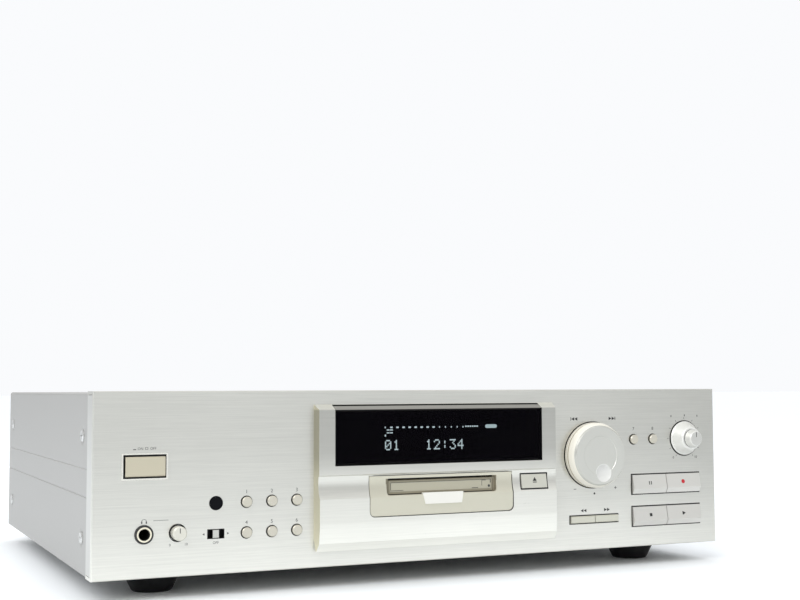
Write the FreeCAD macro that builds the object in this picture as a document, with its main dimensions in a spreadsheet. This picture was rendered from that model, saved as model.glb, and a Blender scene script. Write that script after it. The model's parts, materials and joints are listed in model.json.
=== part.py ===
import FreeCAD, Part
import math
import os
import Sketcher

# A hi-fi minidisc recorder deck. Millimetres. +X is right seen from the front, +Y is towards the
# rear and +Z is up. The origin is on the floor under the middle of the deck's own box.
# Most places are given from the front panel: back() counts from its face and up() from its bottom edge.
# A size named share is how far along the panel's side, between the centre bezel and its end, a control
# stands.

SIZES = {
    # Whole case
    "case_width": 440.0,
    "case_height": 108.0,
    "case_depth": 348.0,
    "foot_height": 13.0,
    "knob_reach": 14.0,
    "socket_reach": 8.0,
    # Walls and gauges
    "panel_plate": 3.0,
    "panel_lip": 2.0,
    "panel_return": 16.0,
    "panel_bevel": 0.6,
    "sheet": 1.0,
    "moulding": 2.0,
    "board_thick": 1.6,
    # Clearances
    "seam": 0.3,
    "slip": 0.3,
    "running": 0.05,
    "key_gap": 0.45,
    # Cover and base
    "cover_inset": 0.8,
    "cover_corner": 2.0,
    "press_line_upper": 62.5,
    "press_line_lower": 46.0,
    "press_line_high": 1.1,
    "press_line_deep": 0.35,
    "base_lift": 0.8,
    "base_flange": 27.0,
    "rear_inset": 0.5,
    "upright_deep": 28.0,
    "upright_tab": 14.0,
    "upright_over": 20.0,
    # Screws
    "screw_head": 3.7,
    "screw_head_thick": 1.3,
    "screw_shank": 1.5,
    "screw_long": 6.0,
    "dish_outer": 6.0,
    "dish_deep": 0.5,
    "side_screw_front": 34.0,
    "side_screw_rear_in": 19.5,
    "side_screw_low": 21.6,
    "side_screw_high": 81.6,
    # Feet
    "foot_in": 45.0,
    "foot_front": 42.0,
    "foot_rear_in": 48.0,
    "foot_ring": 19.0,
    "foot_ring_thick": 4.0,
    "foot_top": 17.0,
    "foot_bottom": 12.4,
    "foot_bevel": 0.8,
    # Power button
    "power_share": 0.775427,
    "power_high": 64.35,
    "power_hole_wide": 27.0,
    "power_hole_tall": 15.5,
    "power_rim": 0.9,
    "power_wide": 23.3,
    "power_tall": 11.4,
    "power_proud": 2.0,
    "power_travel": 3.0,
    # Phones jack and its level knob
    "phones_share": 0.776540,
    "phones_high": 25.2,
    "phones_bush": 5.4,
    "phones_bore": 3.2,
    "phones_deep": 30.0,
    "volume_share": 0.629176,
    "volume_high": 25.3,
    "volume_hole": 5.0,
    "volume_knob": 4.2,
    "volume_proud": 6.0,
    "volume_shaft": 1.5,
    # Remote sensor window and timer slider
    "sensor_share": 0.458055,
    "sensor_high": 41.6,
    "sensor_radius": 4.1,
    "timer_share": 0.458426,
    "timer_high": 23.6,
    "timer_wide": 9.9,
    "timer_tall": 5.2,
    "timer_knob_wide": 3.6,
    # Small round keys
    "key_share": 0.318114,
    "key_pitch_share": 0.118263,
    "key_row_upper": 41.65,
    "key_row_lower": 23.5,
    "mode_key_share": 0.487008,
    "mode_key_high": 73.4,
    "mode_key_pitch_share": 0.118782,
    "key_hole": 3.6,
    "key_radius": 3.15,
    "key_face": 2.75,
    "key_proud": 1.8,
    "key_travel": 1.0,
    # Jog dial, pressed to set
    "jog_share": 0.236080,
    "jog_high": 63.5,
    "jog_hole": 22.4,
    "jog_radius": 22.0,
    "jog_face": 19.3,
    "jog_proud": 10.2,
    "jog_wall": 2.0,
    "jog_line": 4.1,
    "jog_shaft": 3.0,
    "jog_travel": 1.0,
    "jog_disc": 12.8,
    "dimple_across": 2.3,
    "dimple_low": 11.8,
    "dimple_radius": 6.0,
    "dimple_deep": 2.4,
    # Record level and balance knobs on one axis
    "dual_share": 0.806236,
    "dual_high": 73.45,
    "dual_hole": 12.2,
    "dual_radius": 11.75,
    "dual_front": 8.0,
    "dual_proud": 8.5,
    "dual_tube": 3.4,
    "balance_radius": 6.3,
    "balance_front": 5.1,
    "balance_shaft": 2.0,
    # Pause, record, stop and play
    "deck_left_share": 0.470676,
    "deck_right_share": 0.896808,
    "deck_split_share": 0.680772,
    "deck_upper": 35.5,
    "deck_lower": 13.6,
    "deck_tall": 13.8,
    "deck_proud_top": 0.8,
    "deck_proud": 2.8,
    "deck_nose": 0.27,
    "deck_travel": 1.2,
    # Search buttons
    "search_left_share": 0.097996,
    "search_right_share": 0.385301,
    "search_split_share": 0.242762,
    "search_low": 17.5,
    "search_tall": 5.6,
    "search_proud": 1.2,
    # Centre bezel
    "bezel_half": 85.3,
    "bezel_taper": 1.3,
    "bezel_proud": 6.5,
    "bezel_drop": 8.6,
    "shoulder_drop": 12.0,
    "ridge_high": 56.1,
    "ridge_step": 0.8,
    "nose_high": 40.5,
    "nose_proud": 7.3,
    "cove_radius": 25.0,
    "chin_high": 14.7,
    "chin_proud": 6.3,
    "apron_radius": 150.0,
    "tip_high": 9.6,
    "tip_proud": 2.8,
    "root_high": 17.0,
    "bezel_wall": 2.0,
    "bezel_ledge": 1.5,
    "bezel_inner_half": 81.5,
    "bezel_inner_low": 19.5,
    "inner_drop": 11.0,
    # Display window and tube
    "window_half": 73.6,
    "window_low": 61.5,
    "window_thick": 2.0,
    "tube_half": 58.0,
    "tube_low": 65.0,
    "tube_drop": 17.0,
    "tube_thick": 6.0,
    # Slot escutcheon, lip and flap
    "door_half": 50.6,
    "door_low": 29.8,
    "door_top": 54.6,
    "door_thick": 2.4,
    "door_corner": 3.2,
    "slot_half": 39.0,
    "slot_low": 42.4,
    "slot_top": 52.8,
    "slot_face": 4.0,
    "flap_half": 37.0,
    "flap_low": 42.9,
    "flap_top": 51.6,
    "flap_thick": 1.2,
    "flap_pin": 0.6,
    "lip_half": 14.5,
    "lip_half_low": 12.9,
    "lip_top": 43.3,
    "lip_low": 36.3,
    "lip_proud_top": 6.9,
    "lip_proud_low": 8.0,
    # Eject button
    "eject_left": 57.8,
    "eject_right": 76.9,
    "eject_low": 43.5,
    "eject_top": 52.4,
    "eject_gap": 0.6,
    "eject_proud_top": 5.4,
    "eject_proud_low": 7.0,
    "eject_travel": 1.2,
    # Boards and switches behind the panel
    "front_board": 12.0,
    "display_board": 6.0,
    "switch_wide": 6.0,
    "switch_tall": 3.6,
    "plunger": 1.4,
    "plunger_radius": 1.6,
    "stem": 1.2,
    "flange": 1.0,
    "flange_thick": 1.2,
    "post": 3.0,
    "pad_half": 8.0,
    "board_gap": 1.05,
    "board_edge": 10.0,
    # Cartridge and its holder
    "disc_wide": 72.0,
    "disc_long": 68.0,
    "disc_thick": 5.0,
    "bay_low": 45.1,
    "bay_slack": 0.6,
    "holder_sheet": 0.8,
    "holder_front": 14.0,
    "holder_lip": 9.0,
    "holder_drop": 5.0,
    "pin_radius": 1.0,
    "pin_front": 14.0,
    "pin_spread": 46.0,
    "pin_height": 2.9,
    # Disc mechanism
    "mech_low": 26.0,
    "mech_sheet": 1.2,
    "mech_front": 12.0,
    "mech_rear": 92.0,
    "mech_right": 80.0,
    "mech_wall_top": 52.0,
    "mech_post": 4.0,
    "slider_long": 83.0,
    "slider_thick": 1.2,
    "slider_throw": 12.0,
    "slider_top": 51.0,
    "rack_pitch_line": 34.0,
    "tooth_module": 0.5,
    "pinion_teeth": 20,
    "pinion_place": 60.0,
    "pinion_shaft": 1.0,
    "backlash": 0.12,
    "spindle_radius": 11.5,
    "spindle_thick": 4.0,
    "turntable_radius": 9.0,
    "turntable_top": 39.6,
    "turntable_hub": 3.5,
    "spindle_shaft": 1.0,
    "rod_radius": 1.5,
    "rod_high": 33.9,
    "rod_spread": 15.0,
    "sled_low": 31.6,
    "sled_tall": 4.8,
    "lens_start": 15.0,
    "sled_inner": 6.0,
    "sled_outer": 42.0,
    "lens_radius": 3.0,
    "lens_tall": 2.5,
    "arm_reach": 38.0,
    "arm_high": 53.2,
    "arm_thick": 1.0,
    "arm_pin": 1.0,
    "head_size": 8.0,
    # Chassis furniture
    "main_board_lift": 7.0,
    "board_in": 12.0,
    "board_rear_in": 4.0,
    "power_board_wide": 106.2,
    "power_board_long": 64.5,
    "main_board_long": 196.5,
    "stand_in": 6.0,
    "core_wide": 66.0,
    "core_thick": 22.0,
    "core_tall": 56.0,
    "winding_wide": 44.0,
    "winding_long": 46.0,
    "core_side_in": 56.2,
    "core_rear_in": 125.5,
    "heat_fin": 2.0,
    "heat_pitch": 7.0,
    "heat_tall": 32.0,
    "heat_deep": 12.0,
    "phono_across": 120.0,
    "phono_high": 32.0,
    "phono_radius": 4.15,
    "phono_bore": 1.6,
    "phono_pitch": 18.0,
    "inlet_wide": 20.6,
    "inlet_tall": 8.6,
    "inlet_deep": 12.0,
    "optical_across": 60.0,
    "optical_pitch": 20.0,
    "optical_high": 41.0,
    "optical_half": 5.5,
    "inlet_pin_half": 4.3,
    "inlet_in": 42.0,
    "inlet_high": 32.0,
}

PLANES = {"XY": "XY_Plane", "XZ": "XZ_Plane", "YZ": "YZ_Plane"}
ALONG = {
    "X": FreeCAD.Rotation(FreeCAD.Vector(0, 1, 0), 90),
    "Y": FreeCAD.Rotation(FreeCAD.Vector(1, 0, 0), -90),
    "Z": FreeCAD.Rotation(),
}
FULL_TURN = 360.0
OVERSHOOT = 1.0


class Dim:
    """A length that keeps the sheet expression it was worked out with."""

    def __init__(self, text, value):
        self.text = text
        self.value = value

    def __float__(self):
        return float(self.value)

    def __neg__(self):
        return Dim("(0 - %s)" % self.text, -self.value)

    def __add__(self, other):
        return Dim("(%s + %s)" % (self.text, dim(other).text), self.value + float(other))

    def __radd__(self, other):
        return dim(other) + self

    def __sub__(self, other):
        return Dim("(%s - %s)" % (self.text, dim(other).text), self.value - float(other))

    def __rsub__(self, other):
        return dim(other) - self

    def __mul__(self, other):
        return Dim("(%s * %s)" % (self.text, dim(other).text), self.value * float(other))

    def __rmul__(self, other):
        return dim(other) * self

    def __truediv__(self, other):
        return Dim("(%s / %s)" % (self.text, dim(other).text), self.value / float(other))

    def __rtruediv__(self, other):
        return dim(other) / self

    def root(self):
        """The square root."""
        return Dim("sqrt(%s)" % self.text, math.sqrt(self.value))


def dim(value):
    """A plain number as a Dim, and a Dim as it is."""
    return value if isinstance(value, Dim) else Dim("%.6f" % value, float(value))


class Sizes:
    """The sheet's driving sizes, each readable by its alias."""

    def __init__(self, sheet):
        for row, (alias, value) in enumerate(SIZES.items(), 1):
            sheet.set("A%d" % row, alias)
            sheet.set("B%d" % row, str(value))
            sheet.setAlias("B%d" % row, alias)
            setattr(self, alias, Dim("Sizes.%s" % alias, value))


doc = FreeCAD.newDocument("deck")
sheet = doc.addObject("Spreadsheet::Sheet", "Sizes")
S = Sizes(sheet)
doc.recompute()
nodes = {}

# The face of the front panel, so that the knobs in front and the sockets behind balance about Y = 0
FACE = (S.knob_reach - S.socket_reach - S.case_depth) / 2


def back(distance):
    """A Y place counted from the panel's face towards the rear."""
    return FACE + distance


def up(height):
    """A Z place counted from the panel's bottom edge."""
    return S.foot_height + height


def keep(label, thing):
    """Name a finished piece; its label names its file."""
    thing.Label = label
    nodes[label] = thing
    return thing


def put(thing, at, turn=None):
    """Place an object, each coordinate bound to the sheet."""
    if turn is not None:
        thing.Placement = FreeCAD.Placement(FreeCAD.Vector(), turn)
    for axis, value in zip("xyz", at):
        thing.setExpression("Placement.Base.%s" % axis, dim(value).text)
    return thing


def block(xs, ys, zs):
    """A box between two places on each axis."""
    thing = doc.addObject("Part::Box", "Block")
    for side, (low, high) in zip(("Length", "Width", "Height"), (xs, ys, zs)):
        thing.setExpression(side, (dim(high) - low).text)
    return put(thing, (xs[0], ys[0], zs[0]))


def rod(at, axis, length, radius):
    """A cylinder that starts at a point and runs along a positive axis."""
    thing = doc.addObject("Part::Cylinder", "Rod")
    thing.setExpression("Radius", dim(radius).text)
    thing.setExpression("Height", dim(length).text)
    return put(thing, at, ALONG[axis])


def cone(at, axis, length, radius_start, radius_end):
    """A cone frustum that starts at a point and runs along a positive axis."""
    thing = doc.addObject("Part::Cone", "Taper")
    thing.setExpression("Radius1", dim(radius_start).text)
    thing.setExpression("Radius2", dim(radius_end).text)
    thing.setExpression("Height", dim(length).text)
    return put(thing, at, ALONG[axis])


def fuse(*things):
    """Join touching pieces into one solid."""
    thing = doc.addObject("Part::MultiFuse", "Joined")
    thing.Shapes = list(things)
    thing.Refine = True
    return thing


def cut(base, *tools):
    """Take tools away from a base."""
    thing = doc.addObject("Part::Cut", "Trimmed")
    thing.Base = base
    thing.Tool = tools[0] if len(tools) == 1 else fuse(*tools)
    return thing


def common(one, other):
    """What two pieces share."""
    thing = doc.addObject("Part::Common", "Shared")
    thing.Base = one
    thing.Tool = other
    return thing


def group(*things):
    """Separate solids that belong to one node."""
    thing = doc.addObject("Part::Compound", "Group")
    thing.Links = list(things)
    return thing


def copies(master, places):
    """Copies of one piece at several places."""
    made = []
    for at in places:
        thing = doc.addObject("Part::Feature", "Copy")
        thing.Shape = master.Shape.copy()
        made.append(put(thing, at))
    return made


def rect(u0, u1, v0, v1):
    """A rectangle's corners, counter-clockwise."""
    return [(u0, v0), (u1, v0), (u1, v1), (u0, v1)]


def rounded(u0, u1, v0, v1, radius):
    """A rectangle with round corners; the third number is the arc that leaves a point."""
    turn = -dim(radius)
    return [
        (u0 + radius, v0), (u1 - radius, v0, turn), (u1, v0 + radius), (u1, v1 - radius, turn),
        (u1 - radius, v1), (u0 + radius, v1, turn), (u0, v1 - radius), (u0, v0 + radius, turn),
    ]


def circle(u, v, radius):
    """A round loop for a sketch."""
    return ("circle", u, v, radius)


def hold(sketch, kind, *where_and_value):
    """Add a driving constraint and bind it to the sheet."""
    value = dim(where_and_value[-1])
    size = abs(float(value)) if kind == "Radius" else float(value)
    text = value.text
    if kind == "Radius" and float(value) < 0:
        text = (-value).text
    index = sketch.addConstraint(Sketcher.Constraint(kind, *where_and_value[:-1], size))
    sketch.setExpression("Constraints[%d]" % index, text)


def arc_between(start, end, radius):
    """An arc that bulges left of the way from start to end, or right if the radius is negative."""
    chord = end.sub(start)
    half = chord.Length / 2
    side = 1 if float(radius) > 0 else -1
    reach = math.sqrt(max(float(radius) ** 2 - half ** 2, 0.0))
    right = FreeCAD.Vector(chord.y, -chord.x, 0).normalize()
    centre = (start + end) * 0.5 + right * (side * reach)
    first, last = (end, start) if side > 0 else (start, end)
    angle_first = math.atan2(first.y - centre.y, first.x - centre.x)
    angle_last = math.atan2(last.y - centre.y, last.x - centre.x)
    ring = Part.Circle(centre, FreeCAD.Vector(0, 0, 1), abs(float(radius)))
    ends = (2, 1) if side > 0 else (1, 2)
    return Part.ArcOfCircle(ring, angle_first, angle_last), ends


def draw_loop(sketch, loop):
    """Draw one closed loop of lines and arcs, every corner held by the sheet."""
    if loop[0] == "circle":
        centre = FreeCAD.Vector(float(loop[1]), float(loop[2]), 0)
        ring = Part.Circle(centre, FreeCAD.Vector(0, 0, 1), float(loop[3]))
        index = sketch.addGeometry(ring, False)
        hold(sketch, "DistanceX", -1, 1, index, 3, loop[1])
        hold(sketch, "DistanceY", -1, 1, index, 3, loop[2])
        hold(sketch, "Radius", index, loop[3])
        return
    corners = [FreeCAD.Vector(float(point[0]), float(point[1]), 0) for point in loop]
    first = sketch.GeometryCount
    ends = []
    for index, point in enumerate(loop):
        start = corners[index]
        end = corners[(index + 1) % len(loop)]
        if len(point) == 3:
            edge, its_ends = arc_between(start, end, point[2])
        else:
            edge, its_ends = Part.LineSegment(start, end), (1, 2)
        sketch.addGeometry(edge, False)
        ends.append(its_ends)
    for index, point in enumerate(loop):
        after = (index + 1) % len(loop)
        joint = (first + index, ends[index][1], first + after, ends[after][0])
        sketch.addConstraint(Sketcher.Constraint("Coincident", *joint))
        hold(sketch, "DistanceX", -1, 1, first + index, ends[index][0], point[0])
        hold(sketch, "DistanceY", -1, 1, first + index, ends[index][0], point[1])
        if len(point) == 3:
            hold(sketch, "Radius", first + index, point[2])


def draw(body, plane, loops, lift=0.0):
    """A sketch on one of the body's own planes, lifted along the sketch's normal."""
    sketch = body.newObject("Sketcher::SketchObject", "Outline")
    for feature in body.Origin.OriginFeatures:
        if feature.Role == PLANES[plane]:
            sketch.AttachmentSupport = (feature, [""])
    sketch.MapMode = "FlatFace"
    sketch.setExpression("AttachmentOffset.Base.z", dim(lift).text)
    for loop in loops:
        draw_loop(sketch, loop)
    return sketch


def slab(plane, loops, length, at, middle=False):
    """A body padded from loops: XY pads up, XZ pads back and YZ pads right."""
    body = doc.addObject("PartDesign::Body", "Slab")
    pad = body.newObject("PartDesign::Pad", "Pad")
    pad.Profile = draw(body, plane, loops)
    pad.setExpression("Length", dim(length).text)
    pad.Reversed = plane == "XZ" and not middle
    pad.Midplane = middle
    return put(body, at)


def pocket(body, plane, loops, start, depth):
    """Cut loops out of a body from a start along the way that its pad went."""
    before = solid_volume(body)
    lift = -dim(start) if plane == "XZ" else start
    feature = body.newObject("PartDesign::Pocket", "Pocket")
    feature.Profile = draw(body, plane, loops, lift)
    feature.setExpression("Length", dim(depth).text)
    feature.Reversed = plane != "XZ"
    if solid_volume(body) >= before:
        raise RuntimeError("a pocket in %s cut nothing" % body.Label)
    return body


def solid_volume(body):
    """The volume of a body once it is up to date."""
    doc.recompute()
    return body.Shape.Volume


def turned(axis, loop, at):
    """A body turned about an axis from a loop of (radius, place along the axis)."""
    body = doc.addObject("PartDesign::Body", "Turned")
    feature = body.newObject("PartDesign::Revolution", "Turn")
    if axis == "X":
        loop = [(point[1], point[0]) for point in loop]
    sketch = draw(body, "XZ" if axis == "Z" else "XY", [loop])
    feature.Profile = sketch
    feature.ReferenceAxis = (sketch, ["H_Axis" if axis == "X" else "V_Axis"])
    feature.Angle = FULL_TURN
    return put(body, at)


# Places that several pieces share
HALF = S.case_width / 2
ROOM = HALF - S.bezel_half
COVER_HALF = HALF - S.cover_inset
SKIN_HALF = COVER_HALF - S.sheet
COVER_FRONT = S.panel_return + S.seam
REAR_FACE = S.case_depth - S.rear_inset
REAR_INNER = REAR_FACE - S.sheet
COVER_TOP = S.case_height - S.cover_inset
BASE_TOP = S.base_lift + S.sheet
BASE_HALF = SKIN_HALF
WEB_BACK = S.panel_plate + S.moulding
BEZEL_TOP = S.case_height - S.bezel_drop
SHOULDER_HIGH = S.case_height - S.shoulder_drop
INNER_TOP = S.case_height - S.inner_drop
TUBE_TOP = S.case_height - S.tube_drop
FLANGE_FRONT = S.panel_plate + S.running
FLANGE_BACK = FLANGE_FRONT + S.flange_thick
PLUNGER_TIP = S.front_board - S.switch_tall - S.plunger
JOG_FRONT = -S.jog_proud
RIM_IN = HALF - S.moulding * 3 - S.slip
INLET_ACROSS = -HALF + S.inlet_in
FOOT_DEPTHS = (S.foot_front, S.case_depth - S.foot_rear_in)
FOOT_PLACES = [(side * (HALF - S.foot_in), back(deep)) for side in (-1, 1) for deep in FOOT_DEPTHS]
SCREW_DEPTHS = (S.side_screw_front, S.case_depth - S.side_screw_rear_in)
SCREW_HEIGHTS = (S.side_screw_low, S.side_screw_high)


def beside(share):
    """A place on the right of the panel, a share of the way from the centre bezel to its end."""
    return S.bezel_half + ROOM * share


POWER_ACROSS = -beside(S.power_share)
PHONES_ACROSS = -beside(S.phones_share)
VOLUME_ACROSS = -beside(S.volume_share)
SENSOR_ACROSS = -beside(S.sensor_share)
TIMER_ACROSS = -beside(S.timer_share)
KEY_FIRST = -beside(S.key_share)
KEY_PITCH = ROOM * S.key_pitch_share
MODE_KEY_ACROSS = beside(S.mode_key_share)
MODE_KEY_PITCH = ROOM * S.mode_key_pitch_share
JOG_ACROSS = beside(S.jog_share)
DUAL_ACROSS = beside(S.dual_share)
DECK_LEFT = beside(S.deck_left_share)
DECK_RIGHT = beside(S.deck_right_share)
DECK_SPLIT = beside(S.deck_split_share)
SEARCH_LEFT = beside(S.search_left_share)
SEARCH_RIGHT = beside(S.search_right_share)
SEARCH_SPLIT = beside(S.search_split_share)
KEY_PLACES = {
    "edit_key": (KEY_FIRST, S.key_row_upper),
    "title_input_key": (KEY_FIRST + KEY_PITCH, S.key_row_upper),
    "title_search_key": (KEY_FIRST + KEY_PITCH * 2, S.key_row_upper),
    "record_input_key": (KEY_FIRST, S.key_row_lower),
    "monitor_key": (KEY_FIRST + KEY_PITCH, S.key_row_lower),
    "fade_key": (KEY_FIRST + KEY_PITCH * 2, S.key_row_lower),
    "record_mode_key": (MODE_KEY_ACROSS, S.mode_key_high),
    "enter_key": (MODE_KEY_ACROSS + MODE_KEY_PITCH, S.mode_key_high),
}
DECK_ROWS = (S.deck_upper, S.deck_lower)


def around(across, high, wide, tall, grow=0.0):
    """A rectangle loop about a centre, grown on every side."""
    return rect(across - wide / 2 - grow, across + wide / 2 + grow,
                high - tall / 2 - grow, high + tall / 2 + grow)


def face_holes(grow):
    """The loops of every opening in the front panel, grown on every side."""
    loops = [
        around(POWER_ACROSS, S.power_high, S.power_hole_wide, S.power_hole_tall, grow),
        circle(PHONES_ACROSS, S.phones_high, S.phones_bush + S.slip / 2 + grow),
        circle(VOLUME_ACROSS, S.volume_high, S.volume_hole + grow),
        circle(SENSOR_ACROSS, S.sensor_high, S.sensor_radius + S.slip / 2 + grow),
        around(TIMER_ACROSS, S.timer_high, S.timer_wide, S.timer_tall, grow),
        circle(JOG_ACROSS, S.jog_high, S.jog_hole + grow),
        circle(DUAL_ACROSS, S.dual_high, S.dual_hole + grow),
        rect(SEARCH_LEFT - grow, SEARCH_RIGHT + grow,
             S.search_low - grow, S.search_low + S.search_tall + grow),
    ]
    for across, high in KEY_PLACES.values():
        loops.append(circle(across, high, S.key_hole + grow))
    for low in DECK_ROWS:
        loops.append(rect(DECK_LEFT - grow, DECK_RIGHT + grow, low - grow, low + S.deck_tall + grow))
    return loops


# Front panel: one aluminium plate folded back along its top and bottom edges
def make_front_panel():
    """The brushed panel with its openings and bevelled edges."""
    tall = S.case_height
    section = [
        (0, S.panel_bevel), (S.panel_bevel, 0), (S.panel_return, 0), (S.panel_return, S.panel_lip),
        (S.panel_plate, S.panel_lip), (S.panel_plate, tall - S.panel_lip),
        (S.panel_return, tall - S.panel_lip), (S.panel_return, tall),
        (S.panel_bevel, tall), (0, tall - S.panel_bevel),
    ]
    body = slab("YZ", [section], S.case_width, (0, FACE, S.foot_height), middle=True)
    centre = rect(-(S.bezel_inner_half + S.slip), S.bezel_inner_half + S.slip,
                  S.bezel_inner_low - S.slip, INNER_TOP + S.slip)
    pocket(body, "XZ", face_holes(0.0) + [centre], -OVERSHOOT, S.panel_plate + OVERSHOOT * 2)
    bevels = []
    for side in (-1, 1):
        edge = side * HALF
        reach = side * S.panel_bevel
        bevels.append([(edge + reach, -S.panel_bevel), (edge - reach * 2, -S.panel_bevel),
                       (edge + reach, S.panel_bevel * 2)])
    pocket(body, "XY", bevels, -OVERSHOOT, tall + OVERSHOOT * 2)
    keep("front_panel", body)


def make_end_caps():
    """The two blocks that close the folded panel's sides."""
    caps = []
    for side in (-1, 1):
        outer = side * HALF
        inner = side * (HALF - S.moulding * 2)
        xs = (outer, inner) if side < 0 else (inner, outer)
        caps.append(block(xs, (back(S.panel_plate), back(S.panel_return - S.seam)),
                          (up(S.panel_lip + S.slip), up(S.case_height - S.panel_lip - S.slip))))
    keep("end_caps", group(*caps))


def make_subframe():
    """The moulded frame behind the panel, with its rim and the posts of the front boards."""
    half = HALF - S.moulding * 2 - S.slip
    low = S.panel_lip + S.slip
    top = S.case_height - low
    centre = rect(-(S.bezel_inner_half + S.slip), S.bezel_inner_half + S.slip,
                  S.bezel_inner_low - S.slip, INNER_TOP + S.slip)
    web = slab("XZ", [rect(-half, half, low, top)], S.moulding, (0, back(S.panel_plate), S.foot_height))
    pocket(web, "XZ", face_holes(S.flange + S.slip) + [centre], -OVERSHOOT, S.moulding + OVERSHOOT * 2)
    outer = rect(-half, half, low, top)
    inner = rect(-half + S.moulding, half - S.moulding, low + S.moulding, top - S.moulding)
    rim = slab("XZ", [outer, inner], S.panel_return - S.seam - WEB_BACK, (0, back(WEB_BACK), S.foot_height))
    posts = []
    for across, high in BOARD_POSTS:
        posts.append(rod((across, back(WEB_BACK), up(high)), "Y", S.front_board - WEB_BACK, S.post))
    pads = []
    front = S.front_board + S.board_thick + S.running
    for across in PAD_PLACES:
        pads.append(block((across - S.pad_half, across + S.pad_half), (back(front), back(COVER_FRONT)),
                          (up(low), up(low + S.pad_half))))
    keep("front_subframe", fuse(web, rim, *posts, *pads))


# The front of the base is screwed to these pads of the frame
PAD_PLACES = (-HALF + S.foot_in * 2, 0.0, HALF - S.foot_in * 2)


# The front boards hang on these posts, given as (across, high)
POST_TOP = S.case_height - S.board_edge - S.post - OVERSHOOT
POST_ASIDE = S.jog_radius - S.post
BOARD_POSTS = [
    (TIMER_ACROSS - S.timer_wide - S.stem, S.timer_high - S.pad_half),
    (KEY_FIRST + KEY_PITCH / 2, (S.key_row_upper + S.key_row_lower) / 2),
    (KEY_FIRST + KEY_PITCH * 2.5, (S.key_row_upper + S.key_row_lower) / 2),
    (-(RIM_IN - S.post - S.board_gap), S.power_high), (JOG_ACROSS - POST_ASIDE, POST_TOP),
    (JOG_ACROSS + POST_ASIDE, POST_TOP), (DUAL_ACROSS - S.post, POST_TOP),
    (DECK_LEFT - S.post - S.moulding, S.deck_upper - S.post - OVERSHOOT),
]


# Centre bezel: a raised moulding with a shoulder, a cove, a nose and an undercut chin
def bezel_outline(inset):
    """The bezel's side profile as (depth, height), drawn in by an inset."""
    face = -S.bezel_proud + inset
    return [
        (0, S.root_high + inset), (-S.tip_proud + inset, S.tip_high + inset),
        (-S.chin_proud + inset, S.chin_high + inset, S.apron_radius),
        (-S.nose_proud + inset, S.nose_high), (-S.nose_proud + inset, S.nose_high + 1.0, -S.cove_radius),
        (face + S.ridge_step, S.ridge_high - 0.8), (face, S.ridge_high),
        (face, SHOULDER_HIGH - inset), (0, BEZEL_TOP - inset),
    ]


def make_bezel():
    """The hollow bezel with openings for the window, the escutcheon and the eject button."""
    outer = slab("YZ", [bezel_outline(0.0)], S.bezel_half * 2, (0, FACE, S.foot_height), middle=True)
    front = S.bezel_half - S.bezel_taper
    deep = S.nose_proud
    plan = [(-S.bezel_half, 0), (-front, -deep), (front, -deep), (S.bezel_half, 0)]
    sides = slab("XY", [plan], S.case_height, (0, FACE, S.foot_height))
    inner_half = S.bezel_inner_half - S.bezel_wall
    hollow = slab("YZ", [bezel_outline(S.bezel_wall)], inner_half * 2, (0, FACE, S.foot_height), middle=True)
    shell = cut(common(outer, sides), hollow)
    collar_out = rect(-S.bezel_inner_half, S.bezel_inner_half, S.bezel_inner_low, INNER_TOP)
    collar_in = rect(-inner_half, inner_half, S.bezel_inner_low + S.bezel_wall,
                     INNER_TOP - S.bezel_wall)
    deep = S.display_board
    collar = slab("XZ", [collar_out, collar_in], deep, (0, FACE, S.foot_height))
    reach = -(S.nose_proud + OVERSHOOT)
    window = block((-(S.window_half + S.running), S.window_half + S.running),
                   (back(reach), back(-OVERSHOOT / 2)),
                   (up(S.window_low - S.running), up(S.case_height)))
    door = slab("XZ", [door_loop(S.seam)], OVERSHOOT - reach, (0, back(reach), S.foot_height))
    gap = S.eject_gap
    eject = block((S.eject_left - gap, S.eject_right + gap), (back(reach), back(OVERSHOOT)),
                  (up(S.eject_low - gap), up(S.eject_top + gap)))
    # The window's back rests on these ledges, and the eject button's board hangs on the arm
    rest = (back(-S.bezel_proud + S.window_thick), back(-S.bezel_proud + S.window_thick + S.bezel_ledge))
    side = S.window_half + S.bezel_wall
    inner = S.window_half - S.bezel_ledge
    low = S.window_low - S.bezel_wall
    ledges = [
        block((-side, side), rest, (up(low), up(S.window_low + S.bezel_ledge))),
        block((-side, -inner), rest, (up(low), up(SHOULDER_HIGH - S.bezel_wall))),
        block((inner, side), rest, (up(low), up(SHOULDER_HIGH - S.bezel_wall))),
    ]
    arm = block((inner_half, S.bezel_inner_half), (back(S.display_board), back(S.front_board)),
                (up(S.eject_low), up(S.eject_top)))
    keep("centre_bezel", fuse(cut(fuse(shell, collar), window, door, eject), arm, *ledges))


def make_window():
    """The dark acrylic window, its top bent over the bezel's shoulder."""
    face = -S.bezel_proud
    thick = S.window_thick
    lean = S.bezel_proud / (BEZEL_TOP - SHOULDER_HIGH)
    outline = [
        (face, S.window_low), (face + thick, S.window_low), (face + thick, SHOULDER_HIGH - thick / 2),
        (-OVERSHOOT / 2, BEZEL_TOP - thick), (-OVERSHOOT / 2, BEZEL_TOP - OVERSHOOT / 2 / lean),
        (face, SHOULDER_HIGH),
    ]
    body = slab("YZ", [outline], S.window_half * 2, (0, FACE, S.foot_height), middle=True)
    keep("display_window", body)


def door_loop(grow):
    """The escutcheon seen from the front, its lower corners rounded; the third number is an arc."""
    half = S.door_half + grow
    low = S.door_low - grow
    corner = S.door_corner + grow
    top = S.door_top + grow
    return [(-half + corner, low), (half - corner, low, -corner), (half, low + corner), (half, top),
            (-half, top),
            (-half, low + corner, -corner)]


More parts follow.
